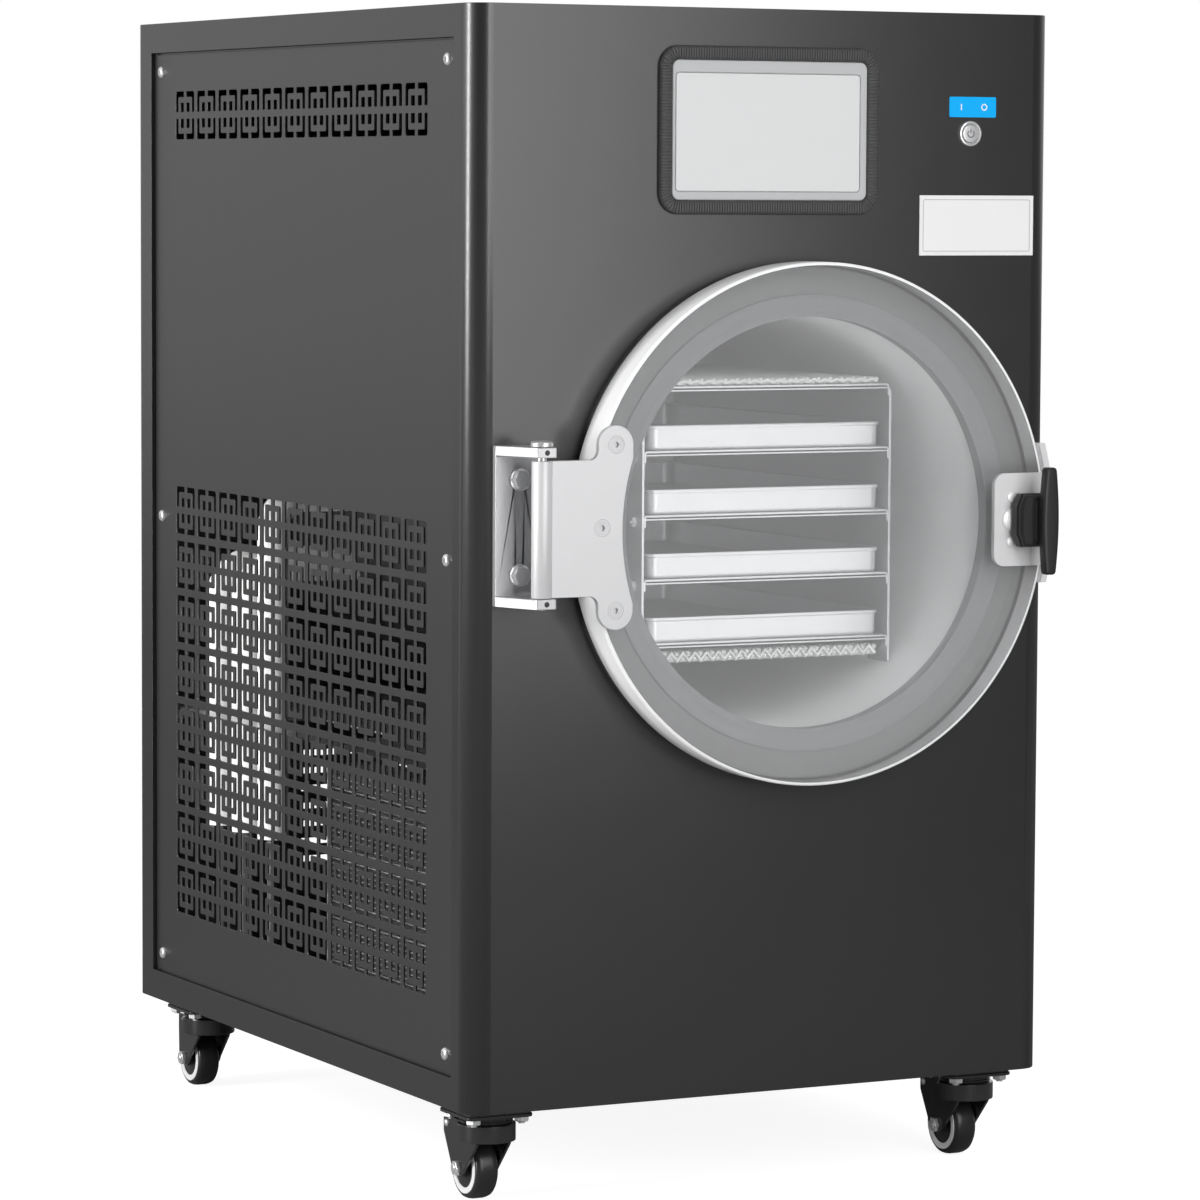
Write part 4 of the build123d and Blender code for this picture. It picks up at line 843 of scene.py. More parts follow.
@dataclass
class Studio:
    """Camera, background, floor and lamps.

    Attributes:
        lens: focal length over the sensor.
        sensor: width of the sensor.
        eye: the camera's place.
        heading: direction it looks in, in degrees from +y towards +x.
        dip: how far it looks down, in degrees.
        roll: turn about the line of sight, in degrees.
        floor_radius: radius of the floor.
        floor_level: brightness of the floor's paint.
        floor_glow: level that the floor adds where it is seen.
        fill: level of the even light from all round.
        key: the large lamp, once it is made.
    """

    lens: float = 153.12
    sensor: float = 36.0
    eye: tuple = (-1822.72, -3604.11, 748.19)
    heading: float = 27.0086
    dip: float = 4.6298
    roll: float = -0.2877
    floor_radius: float = 9000.0
    floor_level: float = 0.36
    floor_glow: float = 0.89
    fill: float = 0.40
    key: bpy.types.Object = None

    def build(self) -> None:
        """Make the camera, the world, the floor and the lamps."""
        self._camera()
        self._world()
        self._floor()
        self.key = KEY.build()
        for lamp in LAMPS:
            lamp.build()
        bpy.context.scene.view_settings.view_transform = "Standard"

    def _camera(self) -> None:
        """Make the camera and place it."""
        yaw, dip, roll = (math.radians(a) for a in (self.heading, self.dip, self.roll))
        ahead = Vector((math.sin(yaw) * math.cos(dip), math.cos(yaw) * math.cos(dip),
                        -math.sin(dip)))
        level = Vector((math.cos(yaw), -math.sin(yaw), 0.0))
        down = -level.cross(ahead)
        right = level * math.cos(roll) + down * math.sin(roll)
        up = right.cross(ahead)
        data = bpy.data.cameras.new("camera")
        data.lens = self.lens
        data.sensor_width = self.sensor
        data.clip_end = 100.0
        camera = bpy.data.objects.new("camera", data)
        bpy.context.scene.collection.objects.link(camera)
        place = Matrix((right, up, -ahead)).transposed().to_4x4()
        place.translation = Vector(self.eye) * MM
        camera.matrix_world = place
        bpy.context.scene.camera = camera

    def _world(self) -> None:
        """Make the world: white where it is seen, an even level on the object."""
        world = bpy.data.worlds.new("world")
        bpy.context.scene.world = world
        nodes = Nodes(world)
        base = nodes.tree.nodes["Background"]
        nodes.feed(base, {"Color": (self.fill, self.fill, self.fill, 1.0)})
        white = nodes.add("ShaderNodeBackground", {"Color": (1.0, 1.0, 1.0, 1.0)})
        walls = nodes.add("ShaderNodeBackground", {"Color": self._walls(nodes)})
        rays = nodes.add("ShaderNodeLightPath")
        gloss = nodes.blend(rays.outputs["Is Glossy Ray"], base, walls)
        mix = nodes.blend(nodes.in_view(), gloss, white)
        nodes.feed(nodes.tree.nodes["World Output"], {"Surface": mix.outputs[0]})

    def _walls(self, nodes: Nodes) -> bpy.types.NodeSocket:
        """Level of the studio's walls by direction, as bright metal shows them.

        Args:
            nodes: the world's nodes.

        Returns:
            The socket with the level.
        """
        place = nodes.add("ShaderNodeTexCoord")
        parts = nodes.add("ShaderNodeSeparateXYZ", {0: place.outputs["Generated"]})
        angle = nodes.math("ARCTAN2", parts.outputs["Y"], parts.outputs["X"])
        share = nodes.add("ShaderNodeMapRange", {
            "Value": angle, "From Min": -math.pi, "From Max": math.pi})
        ramp = nodes.add("ShaderNodeValToRGB", {"Fac": share.outputs[0]})
        ramp.color_ramp.interpolation = "EASE"
        stops = ramp.color_ramp.elements
        while len(stops) < len(WALLS):
            stops.new(0.5)
        for stop, (heading, level) in zip(stops, WALLS):
            stop.position = (heading + 180) / 360
            stop.color = (level, level, level, 1.0)
        return ramp.outputs["Color"]

    def _floor(self) -> None:
        """Make the pale floor, which keeps the object's shadow."""
        shape = bmesh.new()
        bmesh.ops.create_circle(shape, cap_ends=True, segments=64,
                                radius=self.floor_radius * MM)
        mesh = bpy.data.meshes.new("floor")
        shape.to_mesh(mesh)
        shape.free()
        floor = bpy.data.objects.new("floor", mesh)
        bpy.context.scene.collection.objects.link(floor)
        material = bpy.data.materials.new("floor_paint")
        nodes = Nodes(material)
        shader = nodes.tree.nodes["Principled BSDF"]
        nodes.feed(shader, {"Base Color": (*[self.floor_level] * 3, 1.0), "Roughness": 0.9,
                            "Specular IOR Level": 0.0})
        glow = nodes.add("ShaderNodeEmission", {
            "Strength": nodes.math("MULTIPLY", nodes.in_view(), self.floor_glow)})
        both = nodes.add("ShaderNodeAddShader", {0: shader.outputs[0], 1: glow.outputs[0]})
        nodes.feed(nodes.tree.nodes["Material Output"], {"Surface": both.outputs[0]})
        mesh.materials.append(material)

    def spare(self, pieces: list) -> None:
        """Keep the key lamp's glare off polished clear pieces.

        Args:
            pieces: the pieces that it passes by.
        """
        skipped = bpy.data.collections.new("no_key_glare")
        self.key.light_linking.receiver_collection = skipped
        for piece in pieces:
            skipped.objects.link(piece)
        for entry in skipped.collection_objects:
            entry.light_linking.link_state = "EXCLUDE"


# ------------------------------------------------------------------ cabinet
@dataclass
class VentPanel:
    """Side panel with a punched fret, held by six button-head screws.

    Attributes:
        side: left or right.
        columns: columns of fret cells.
        rows: rows of cells in the lower field.
        cell: width and height of one cell.
        pitch: distance between cells along the panel and upwards.
        first_in: first column from the panel's front edge.
        first_up: first row above the panel's lower edge.
        top_up: the single upper row above the lower edge.
        bar: height of the bar across the middle of a cell.
        arm: width of a slot's upright arm.
        reach: height of a slot's level arm.
        bridge: width of steel between the two level arms.
        inner: width of a short slot.
        inner_in: short slot from the cell's edge.
        inner_down: short slot's top below the cell's top.
        screw_radius: radius of a screw's head.
        screw_height: height of its head.
        screw_inset: a screw from the panel's front and back edges.
        screw_up: outer screws from the panel's lower and upper edges.
    """

    side: str
    columns: int = 11
    rows: int = 8
    cell: float = 38.5
    pitch: tuple = (44.35, 44.5)
    first_in: float = 68.0
    first_up: float = 72.0
    top_up: float = 704.0
    bar: float = 5.6
    arm: float = 5.2
    reach: float = 4.4
    bridge: float = 4.8
    inner: float = 6.8
    inner_in: float = 9.8
    inner_down: float = 9.2
    screw_radius: float = 4.8
    screw_height: float = 2.4
    screw_inset: float = 14.0
    screw_up: float = 14.0

    def build(self) -> None:
        """Make the panel and its screws."""
        node = "side_panel_" + self.side
        box = span(node)
        levels = [self.first_up + row * self.pitch[1] for row in range(self.rows)]
        holes = []
        for up in (*levels, self.top_up):
            for column in range(self.columns):
                holes += self._cell(box.lo.y + self.first_in + column * self.pitch[0],
                                    box.lo.z + up)
        outline = rectangle((box.lo.y, box.lo.z), (box.hi.y, box.hi.z), 3.0)
        Shape().slab(outline, box.lo.x, box.hi.x, Plane.SIDE, holes, 0.25, 0).place(
            "fret_panel_" + self.side, PANEL, replaces=(node,))
        self._screws(box)

    def _cell(self, across: float, up: float) -> list:
        """Slots of one fret cell.

        Args:
            across: middle of the cell along the panel.
            up: middle of the cell's height.

        Returns:
            The outlines of its eight slots.
        """
        half = self.cell / 2
        end, top = self.bar / 2, half
        inner = half - self.inner_in
        bend = [(-half, end), (-half + self.arm, end), (-half + self.arm, top - self.reach),
                (-self.bridge / 2, top - self.reach), (-self.bridge / 2, top), (-half, top)]
        bend = rounded(bend, [0.4, 0.4, 1.2, 0.4, 0.4, 2.2], 2)
        short = rectangle((-inner, end), (-inner + self.inner, top - self.inner_down), 0.4, 1)
        slots = []
        for turn_u in (1, -1):
            for turn_v in (1, -1):
                for slot in (bend, short):
                    slots.append([(across + turn_u * u, up + turn_v * v) for u, v in slot])
        return slots

    def _screws(self, box: Span) -> None:
        """Make the screws around the panel's edge.

        Args:
            box: the panel's box.
        """
        sign, face = (-1, box.lo.x) if self.side == "left" else (1, box.hi.x)
        middle, rise = box.mid.z, box.size.z / 2 - self.screw_up
        shape = Shape()
        for y in (box.lo.y + self.screw_inset, box.hi.y - self.screw_inset):
            for z in (middle - rise, middle, middle + rise):
                shape.lathe(button_head(self.screw_radius, self.screw_height, sign),
                            (face, y, z), "x", 20)
        shape.place("panel_screws_" + self.side, BOLT, smooth=50)


@dataclass
class Cabinet:
    """The folded cabinet with its cover, pan, back and vented sides."""

    def build(self) -> None:
        """Make the pieces of the cabinet that the frame's nodes leave plain."""
        for side in SIDES:
            VentPanel(side).build()


# ------------------------------------------------------------------ door
@dataclass
class Door:
    """Clear disc that closes the drum.

    Attributes:
        edge: radius of the disc's polished edges.
        skin: depth of the opaque band round the disc, its turned edge, whose near-white colour is
            partly painted glow.
    """

    edge: float = 1.6
    skin: float = 2.4

    def build(self) -> None:
        """Make the disc."""
        box = span("door_disc")
        radius = box.size.x / 2
        front, back, e = box.lo.y, box.hi.y, self.edge
        turns = [math.pi / 6 * k for k in range(4)]
        profile = [(0.0, front)]
        profile += [(radius - e + e * math.sin(t), front + e - e * math.cos(t)) for t in turns]
        profile += [(radius - e + e * math.cos(t), back - e + e * math.sin(t)) for t in turns]
        profile.append((0.0, back))
        centre = (box.mid.x, 0.0, box.mid.z)
        inner = radius - self.skin
        Shape().lathe([(min(r, inner), y) for r, y in profile], centre, "y", 180).place(
            "clear_door", CLEAR, "door", ("door_disc",))
        # the outer band is opaque and near white: the turned edge's frosted finish, plus painted
        # glow of the light that leaves the disc through its edge
        band = profile[1:-1] + [(inner + 0.02, back), (inner + 0.02, front)]
        Shape().lathe(band, centre, "y", 180, closed=True).place(
            "door_rim", RIM, "door")


# ------------------------------------------------------------------ chamber
@dataclass
class Seal:
    """Moulded door seal with two raised lips.

    Attributes:
        lip: how far the lips stand in front of the seal's face.
        lip_width: width of a lip's crest.
        flap: thickness of the part inside the drum.
        plating: thickness of the flange's face.
        width: the seal's width outside the drum.
        bore: inner radius of the seal.
        crests: lips from the seal's inner and outer edges.
        step: depth of the grooves beside the lips.
        gap: clearance to the drum.
        flange: the flange's width outside the drum.
        sunk: the flange's front behind the cabinet's.
        latch_slot: half the width and height of the slot for the latch.
    """

    lip: float = 0.7
    lip_width: float = 2.2
    flap: float = 2.0
    plating: float = 1.2
    width: float = 11.5
    bore: float = 152.7
    crests: tuple = (5.0, 3.4)
    step: float = 0.3
    gap: float = 0.3
    flange: float = 31.5
    sunk: float = 0.2
    latch_slot: tuple = (6.5, 16.0)

    def build(self) -> None:
        """Make the seal and the flange behind it."""
        box = span("door_gasket")
        drum = span("vacuum_drum")
        inner, outer = self.bore, drum.size.x / 2 + self.width
        front, back, foot = box.lo.y, box.hi.y, drum.lo.y - self.gap
        face = front + self.lip
        groove = face - self.step
        profile = [(inner, face), (inner + 0.5, groove)]
        for middle in (inner + self.crests[0], outer - self.crests[1]):
            half = self.lip_width / 2
            profile += [(middle - half - 0.8, groove), (middle - half, front),
                        (middle + half, front), (middle + half + 0.8, groove)]
        profile += [(outer - 0.5, groove), (outer, face + self.step), (outer, foot),
                    (inner + self.flap, foot), (inner + self.flap, back - 0.4),
                    (inner + self.flap / 2, back), (inner, back - 0.4)]
        centre = (box.mid.x, 0.0, box.mid.z)
        Shape().lathe(profile, centre, "y", 120, closed=True).place(
            "door_seal", GASKET, replaces=("door_gasket",))
        middle, radius = (box.mid.x, box.mid.z), drum.size.x / 2
        sheet = span("cabinet_wrap").lo.y - self.sunk
        x, z = span("latch_shaft").mid.x, span("t_handle").mid.z
        w, h = self.latch_slot
        holes = (circle(middle, radius + self.gap, 120), rectangle((x - w, z - h), (x + w, z + h)))
        Shape().slab(circle(middle, radius + self.flange, 120), sheet - self.plating, sheet,
                     Plane.FRONT, holes).place("flange_face", FLANGE)


@dataclass
class Rack:
    """Shelf rack with folded shelves, pressed trays and woven heaters.

    Attributes:
        sheet: thickness of the shelves' sheet.
        bend: outer radius of a shelf's folds.
        hem: thickness of the folded strip under a shelf's front edge.
        hem_depth: length of that strip from front to back.
        toe: length of a side plate's feet.
        toe_height: height of the feet.
        nut_across: width of a nut across its flats.
        nut_height: height of a nut.
        nut_inset: nut from the plate's front and back edges.
        nut_down: nut below the shelf's top.
        strand: pitch of the woven strands.
        strand_radius: radius of a strand.
        low_heater: thickness of the heater under the lowest shelf.
        low_nest: how far that heater reaches up past the shelf's lower edge.
    """

    sheet: float = 1.5
    bend: float = 2.4
    hem: float = 1.2
    hem_depth: float = 12.0
    toe: float = 30.0
    toe_height: float = 6.0
    nut_across: float = 7.0
    nut_height: float = 3.0
    nut_inset: float = 12.0
    nut_down: float = 5.25
    strand: float = 5.0
    strand_radius: float = 1.5
    low_heater: float = 9.0
    low_nest: float = 2.0

    def build(self) -> None:
        """Make the plates, the shelves, the trays and the heaters."""
        for side in SIDES:
            self._plate(side)
        for index in range(1, 6):
            self._shelf(index)
        for index in range(1, 5):
            self._tray(index)
        self._nuts()
        self._heaters()

    def _plate(self, side: str) -> None:
        """Make one side plate.

        Args:
            side: left or right.
        """
        box = span("rack_plate_" + side)
        y0, y1, z0, z1 = box.lo.y, box.hi.y, box.lo.z, box.hi.z
        low = z0 + self.toe_height
        points = [(y0, z0), (y0 + self.toe, z0), (y0 + self.toe, low), (y1 - self.toe, low),
                  (y1 - self.toe, z0), (y1, z0), (y1, z1), (y0, z1)]
        outline = rounded(points, [1.5, 1.5, 3, 3, 1.5, 1.5, 4, 4], 3)
        Shape().slab(outline, box.lo.x, box.hi.x, Plane.SIDE, edge=0.35).place(
            "rack_side_" + side, RACK, replaces=("rack_plate_" + side,))

    def _shelf(self, index: int) -> None:
        """Make one folded shelf.

        Args:
            index: number of the shelf, from the top.
        """
        box = span(f"shelf_{index}")
        x0, x1, z0, z1 = box.lo.x, box.hi.x, box.lo.z, box.hi.z
        s = self.sheet
        points = [(x0, z0), (x0 + s, z0), (x0 + s, z1 - s), (x1 - s, z1 - s), (x1 - s, z0),
                  (x1, z0), (x1, z1), (x0, z1)]
        outline = rounded(points, [0.2, 0.2, self.bend - s, self.bend - s, 0.2, 0.2,
                                   self.bend, self.bend], 3)
        shape = Shape().slab(outline, box.lo.y, box.hi.y, Plane.FRONT, edge=0.25)
        top = z1 - s - 1.1
        strip = rectangle((x0 + s, top - self.hem), (x1 - s, top))
        shape.slab(strip, box.lo.y + 0.4, box.lo.y + self.hem_depth, Plane.FRONT, edge=0.25)
        shape.place(f"shelf_sheet_{index}", RACK, replaces=(f"shelf_{index}",))

    def _tray(self, index: int) -> None:
        """Make one pressed tray with a rolled rim.

        Args:
            index: number of the tray, from the top.
        """
        box = span(f"tray_{index}")
        high = box.size.z
        profile = [(4.6, 0.0), (3.0, 0.3), (2.0, 1.3), (1.6, 3.0), (1.4, high - 2.8),
                   (0.5, high - 2.9), (0.0, high - 2.1), (0.0, high - 1.2),
                   (0.5, high - 0.3), (1.3, high), (2.0, high - 0.4), (2.3, high - 1.2),
                   (2.5, 3.0), (3.1, 1.6), (4.6, 0.9)]
        loops = []
        for inset, up in profile:
            low = (box.lo.x + inset, box.lo.y + inset)
            top = (box.hi.x - inset, box.hi.y - inset)
            loops.append((rectangle(low, top, 9.0 - inset, 6), box.lo.z + up))
        Shape().stack(loops, Plane.FLAT).place(f"tray_pan_{index}", TRAY,
                                               replaces=(f"tray_{index}",))

    def _nuts(self) -> None:
        """Make the nuts that hold the shelves to the side plates."""
        shape = Shape()
        for side, sign in zip(SIDES, (-1, 1)):
            plate = span("rack_plate_" + side)
            face = plate.lo.x if sign < 0 else plate.hi.x
            for index in range(1, 6):
                z = span(f"shelf_{index}").hi.z - self.nut_down
                for y in (plate.lo.y + self.nut_inset, plate.hi.y - self.nut_inset):
                    tall = sign * self.nut_height
                    shape.nut((y, z), self.nut_across, (face, face + tall * 0.8, face + tall),
                              Plane.SIDE)
                    shape.lathe(dome(1.7, 1.2, 0.0, sign, 3), (face + tall * 0.98, y, z),
                                "x", 12)
        shape.place("rack_nuts", BOLT)

    def _heaters(self) -> None:
        """Make the woven heaters above the top shelf and under the lowest."""
        box = span("heater_wraps")
        shelf = span("shelf_1").hi.z
        self._weave("top", box, shelf, box.hi.z - shelf, ("heater_wraps",))
        low = span("shelf_5").lo.z - self.low_heater + self.low_nest
        self._weave("low", box, low, self.low_heater, ())

    def _weave(self, name: str, box: Span, low: float, thick: float,
               replaces: tuple) -> None:
        """Make one mat of woven strands.

        Args:
            name: which mat it is.
            box: box of the mats' node.
            low: the mat's lower face.
            thick: its thickness.
            replaces: the nodes that it stands for.
        """
        pitch = self.strand
        counts = [int((size - 4) / pitch) for size in box.size[:2]]
        x0, y0 = (mid - count * pitch / 2 for mid, count in zip(box.mid[:2], counts))
        rise = thick / 2 - self.strand_radius - 0.05

        def knot(i: int, j: int, sign: int) -> tuple:
            """Place of a crossing on one of its two strands."""
            return (x0 + i * pitch, y0 + j * pitch,
                    low + thick / 2 + sign * rise * (-1) ** (i + j))

        across, along = (range(count + 1) for count in counts)
        strands = [[knot(i, j, 1) for i in across] for j in along]
        strands += [[knot(i, j, -1) for j in along] for i in across]
        shape = Shape()
        for strand in strands:
            shape.tube(strand, self.strand_radius * 1.25, 6)
        shape.place("heater_weave_" + name, WEAVE, smooth=80, replaces=replaces)


# ------------------------------------------------------------------ controls
@dataclass
class Controls:
    """Touch screen in its ribbed edging, power button and printed plates.

    Attributes:
        case_in: the screen's case from the edge of its frame.
        frame_edge: radius of the frame's edges.
        corner: radius of the frame's corners.
        pane_corner: radius of the display's corners.
        trim_corner: radius of the edging's corners.
        rib: width of one rib of the edging.
        rib_depth: depth of the groove between two ribs.
        ring_slope: height of the slope at the button ring's mouth.
        mark_x: the plate's marks from its middle.
        ink: height of printed marks over and under the plate's face.
        border: the white plate's border from its edge, outside and inside.
        sign_radius: radius of the sign on the button.
        sign_line: half the width of its line.
        sign_gap: half the angle of the gap at the sign's top.
        sign_stroke: ends of the sign's stroke above the middle.
    """

    case_in: float = 4.0
    frame_edge: float = 1.0
    corner: float = 5.5
    pane_corner: float = 2.5
    trim_corner: float = 16.0
    rib: float = 2.1
    rib_depth: float = 0.8
    ring_slope: float = 1.4
    mark_x: float = 10.0
    ink: float = 0.1
    border: tuple = (2.9, 3.5)
    sign_radius: float = 2.7
    sign_line: float = 0.34
    sign_gap: float = 42.0
    sign_stroke: tuple = (0.6, 3.4)

    def build(self) -> None:
        """Make the pieces of the front's controls."""
        self._edging()
        self._screen()
        self._button()
        self._plates()

    def _edging(self) -> None:
        """Make the ribbed edging round the screen."""
        trim, screen = span("screen_trim"), span("touch_screen")
        band = (trim.size.x - screen.size.x) / 2
        half = band / 2
        middle = trim.face(half, self.trim_corner - half, 10)
        around = sum(math.dist(a, b) for a, b in zip(middle, middle[1:] + middle[:1]))
        count = 4 * int(around / self.rib)
        base, proud = trim.hi.y, trim.size.y
        section = ((half, 0.0), (half, proud * 0.55), (half - 0.9, proud * 0.85),
                   (half - 2.4, proud), (2.4 - half, proud), (0.9 - half, proud * 0.8),
                   (-half, proud * 0.6), (-half, 0.0))
        rings = []
        for k, (spot, out) in enumerate(even_loop(middle, count)):
            drop = 0.0 if k % 4 < 2 else self.rib_depth
            rings.append([(spot[0] + out[0] * away,
                           base - max(0.0, up - drop * (up > proud / 2)),
                           spot[1] + out[1] * away) for away, up in section])
        Shape().skin(rings, closed=True).place("screen_edging", TRIM,
                                               replaces=("screen_trim",))

    def _screen(self) -> None:
        """Make the screen's frame with its case and the lit display."""
        box, pane, front = span("touch_screen"), span("display_glass"), span("screen_trim")
        hole = pane.face(-0.3, self.pane_corner + 0.3, 5)
        shape = Shape().slab(box.face(0.0, self.corner, 6), box.lo.y, front.hi.y,
                             Plane.FRONT, (hole,), self.frame_edge, 2)
        inset = self.case_in
        shape.block((box.lo.x + inset, pane.hi.y + 0.1, box.lo.z + inset),
                    (box.hi.x - inset, box.hi.y, box.hi.z - inset), 1.5)
        shape.place("screen_housing", SCREEN, replaces=("touch_screen",))
        Shape().slab(pane.face(0.0, self.pane_corner, 5), pane.lo.y, pane.hi.y,
                     Plane.FRONT, edge=0.35, steps=2).place(
            "display_pane", DISPLAY, replaces=("display_glass",))

    def _button(self) -> None:
        """Make the power button's ring, cap and sign."""
        ring, cap = span("button_bezel"), span("button_cap")
        centre = (cap.mid.x, 0.0, cap.mid.z)
        front, back, outer = ring.lo.y, ring.hi.y, ring.size.x / 2
        inner = cap.size.x / 2 + 0.15
        step = span("screen_trim").hi.y
        profile = [(inner, back), (inner, front + self.ring_slope), (outer - 1.7, front + 0.1),
                   (outer - 1.1, front), (outer - 0.4, front + 0.2), (outer, front + 0.8),
                   (outer, step), (outer - 1.9, step), (outer - 1.9, back)]
        Shape().lathe(profile, centre, "y", 48, closed=True).place(
            "button_ring", RING, replaces=("button_bezel",))
        r, face = cap.size.x / 2, cap.lo.y
        Shape().lathe([(0.0, face), (r - 0.9, face), (r - 0.3, face + 0.2), (r, face + 0.7),
                       (r, cap.hi.y), (0.0, cap.hi.y)], centre, "y", 48).place(
            "button_push", CAP, "power_button", ("button_cap",))
        sweep = 360 - 2 * self.sign_gap
        turns = [math.radians(90 + self.sign_gap + sweep * k / 20) for k in range(21)]
        arc = [(centre[0] + self.sign_radius * math.cos(t), face,
                centre[2] + self.sign_radius * math.sin(t)) for t in turns]
        stroke = [(centre[0], face, centre[2] + up) for up in self.sign_stroke]
        Shape().tube(arc, self.sign_line, 6).tube(stroke, self.sign_line, 6).place(
            "button_sign", HANDLE, "power_button")

    def _plates(self) -> None:
        """Make the blue plate with its two marks and the blank white plate."""
        box = span("switch_plate")
        Shape().slab(box.face(0.0, 1.2), box.lo.y, box.hi.y, Plane.FRONT, edge=0.12).place(
            "switch_film", BLUE, replaces=("switch_plate",))
        x, z, away, ink = box.mid.x, box.mid.z, self.mark_x, self.ink
        line = rectangle((x - away - 0.5, z - 2.4), (x - away + 0.5, z + 2.4), 0.3, 2)
        spot = (x + away, z)
        Shape().slab(line, box.lo.y - ink, box.lo.y + ink, Plane.FRONT, edge=0.04).slab(
            circle(spot, 2.6, 32), box.lo.y - ink, box.lo.y + ink, Plane.FRONT,
            (circle(spot, 1.7, 32),), 0.04).place("switch_marks", WHITE)
        box = span("notice_plate")
        Shape().slab(box.face(0.0, 0.5, 3), box.lo.y, box.hi.y, Plane.FRONT,
                     edge=0.12).place("notice_film", WHITE, replaces=("notice_plate",))
        outside, inside = self.border
        Shape().slab(box.face(outside, 1.6), box.lo.y - ink, box.lo.y + ink, Plane.FRONT,
                     (box.face(inside, 1.0),), 0.03).place("notice_border", SCREEN)


# ------------------------------------------------------------------ hinge
@dataclass
class Hinge:
    """Pin, screws, bolts and washers of the door's hinge.

    Attributes:
        lobe_x: outer screws from the pin's axis.
        lobe_up: outer screws above and below the hinge's middle.
        middle_x: middle screw from the pin's axis.
        head: radius of a countersunk head.
        socket: radius of its hexagonal socket.
        bolt_across: bolt head across its flats.
        washer: radius of the flange washer.
        washer_height: its thickness.
        bolt_seat: the bracket's wall behind the front of the bolts' heads.
        plug_in: set screws from the bracket's ends.
        neck: from the pin's top down to where its head begins.
    """

    lobe_x: float = 58.6
    lobe_up: float = 60.0
    middle_x: float = 47.6
    head: float = 6.2
    socket: float = 2.4
    bolt_across: float = 13.0
    washer: float = 8.2
    washer_height: float = 1.6
    bolt_seat: float = 6.9
    plug_in: float = 3.65
    neck: float = 4.3

    def build(self) -> None:
        """Make the loose metal of the hinge and round its plates."""
        soften("hinge_arm", 0.5, 2)
        soften("hinge_bracket", 0.8, 2)
        self._screws()
        self._bolts()
        self._pin()

    def _screws(self) -> None:
        """Make the three countersunk screws of the arm."""
        pin, box, arm = span("hinge_pin"), span("hinge_arm_screws"), span("hinge_arm")
        face, mid = box.lo.y, arm.mid.z
        shape = Shape()
        for x, z in ((self.lobe_x, self.lobe_up), (self.lobe_x, -self.lobe_up),
                     (self.middle_x, 0.0)):
            spot = (pin.mid.x + x, 0.0, mid + z)
            r = self.head
            shape.lathe([(2.8, face + 2.5), (2.8, face + 0.3), (3.1, face), (4.2, face),
                         (4.4, face + 0.25), (4.6, face), (r - 0.3, face), (r, face + 0.3),
                         (3.0, face + r - 2.9), (3.0, box.hi.y), (0.0, box.hi.y),
                         (0.0, face + 2.5)], spot, "y", 40, closed=True)
            shape.lathe([(self.socket, face + 0.15), (self.socket + 0.9, face + 0.15),
                         (self.socket + 0.9, face + 2.6), (self.socket, face + 2.6)],
                        spot, "y", 6, closed=True)
        shape.place("arm_screws", HINGE, "door", ("hinge_arm_screws",))

    def _bolts(self) -> None:
        """Make the two hexagon bolts with their washers, and the ears' screws."""
        box, bracket, pin = span("hinge_bolts"), span("hinge_bracket"), span("hinge_pin")
        shape, plugs = Shape(), Shape()
        seat, w = box.lo.y + self.bolt_seat, self.washer
        top = seat - self.washer_height
        for z in (box.lo.z + w, box.hi.z - w):
            spot = (box.mid.x, 0.0, z)
            shape.lathe([(0.0, seat), (w - 0.3, seat), (w, seat - 0.3), (w, top + 0.6),
                         (w - 1.2, top), (0.0, top)], spot, "y", 40)
            shape.nut((box.mid.x, z), self.bolt_across,
                      (top, box.lo.y + 0.9, box.lo.y, box.lo.y + 0.25), Plane.FRONT,
                      (0.46, 0.36))
            shape.lathe([(3.7, seat), (3.7, box.hi.y), (0.0, box.hi.y)], spot, "y", 20)
        shape.place("bracket_bolts", BOLT, replaces=("hinge_bolts",))
        face = bracket.lo.y
        for z in (bracket.lo.z + self.plug_in, bracket.hi.z - self.plug_in):
            spot = (pin.mid.x, 0.0, z)
            plugs.lathe([(1.0, face + 0.9), (1.0, face - 0.1), (1.9, face - 0.1),
                         (2.1, face + 0.1), (2.1, face + 0.9)], spot, "y", 24, closed=True)
            plugs.lathe([(0.0, face - 0.02), (1.1, face - 0.02), (1.1, face + 0.9)],
                        spot, "y", 24)
        plugs.place("ear_screws", HANDLE)

    def _pin(self) -> None:
        """Make the pin with its domed head."""
        box = span("hinge_pin")
        low, high, r = box.lo.z, box.hi.z, box.size.x / 2
        seat = high - self.neck
        Shape().lathe([(0.0, low), (2.6, low), (3.4, low + 0.8), (3.4, seat), (r - 0.5, seat),
                       (r, seat + 0.5), (r, high - 1.3), (r - 0.6, high - 0.5),
                       (r - 2.0, high), (1.4, high), (1.0, high - 0.3), (0.0, high - 0.3)],
                      (box.mid.x, box.mid.y, 0.0), "z", 40).place(
            "pin_headed", BOLT, replaces=("hinge_pin",))


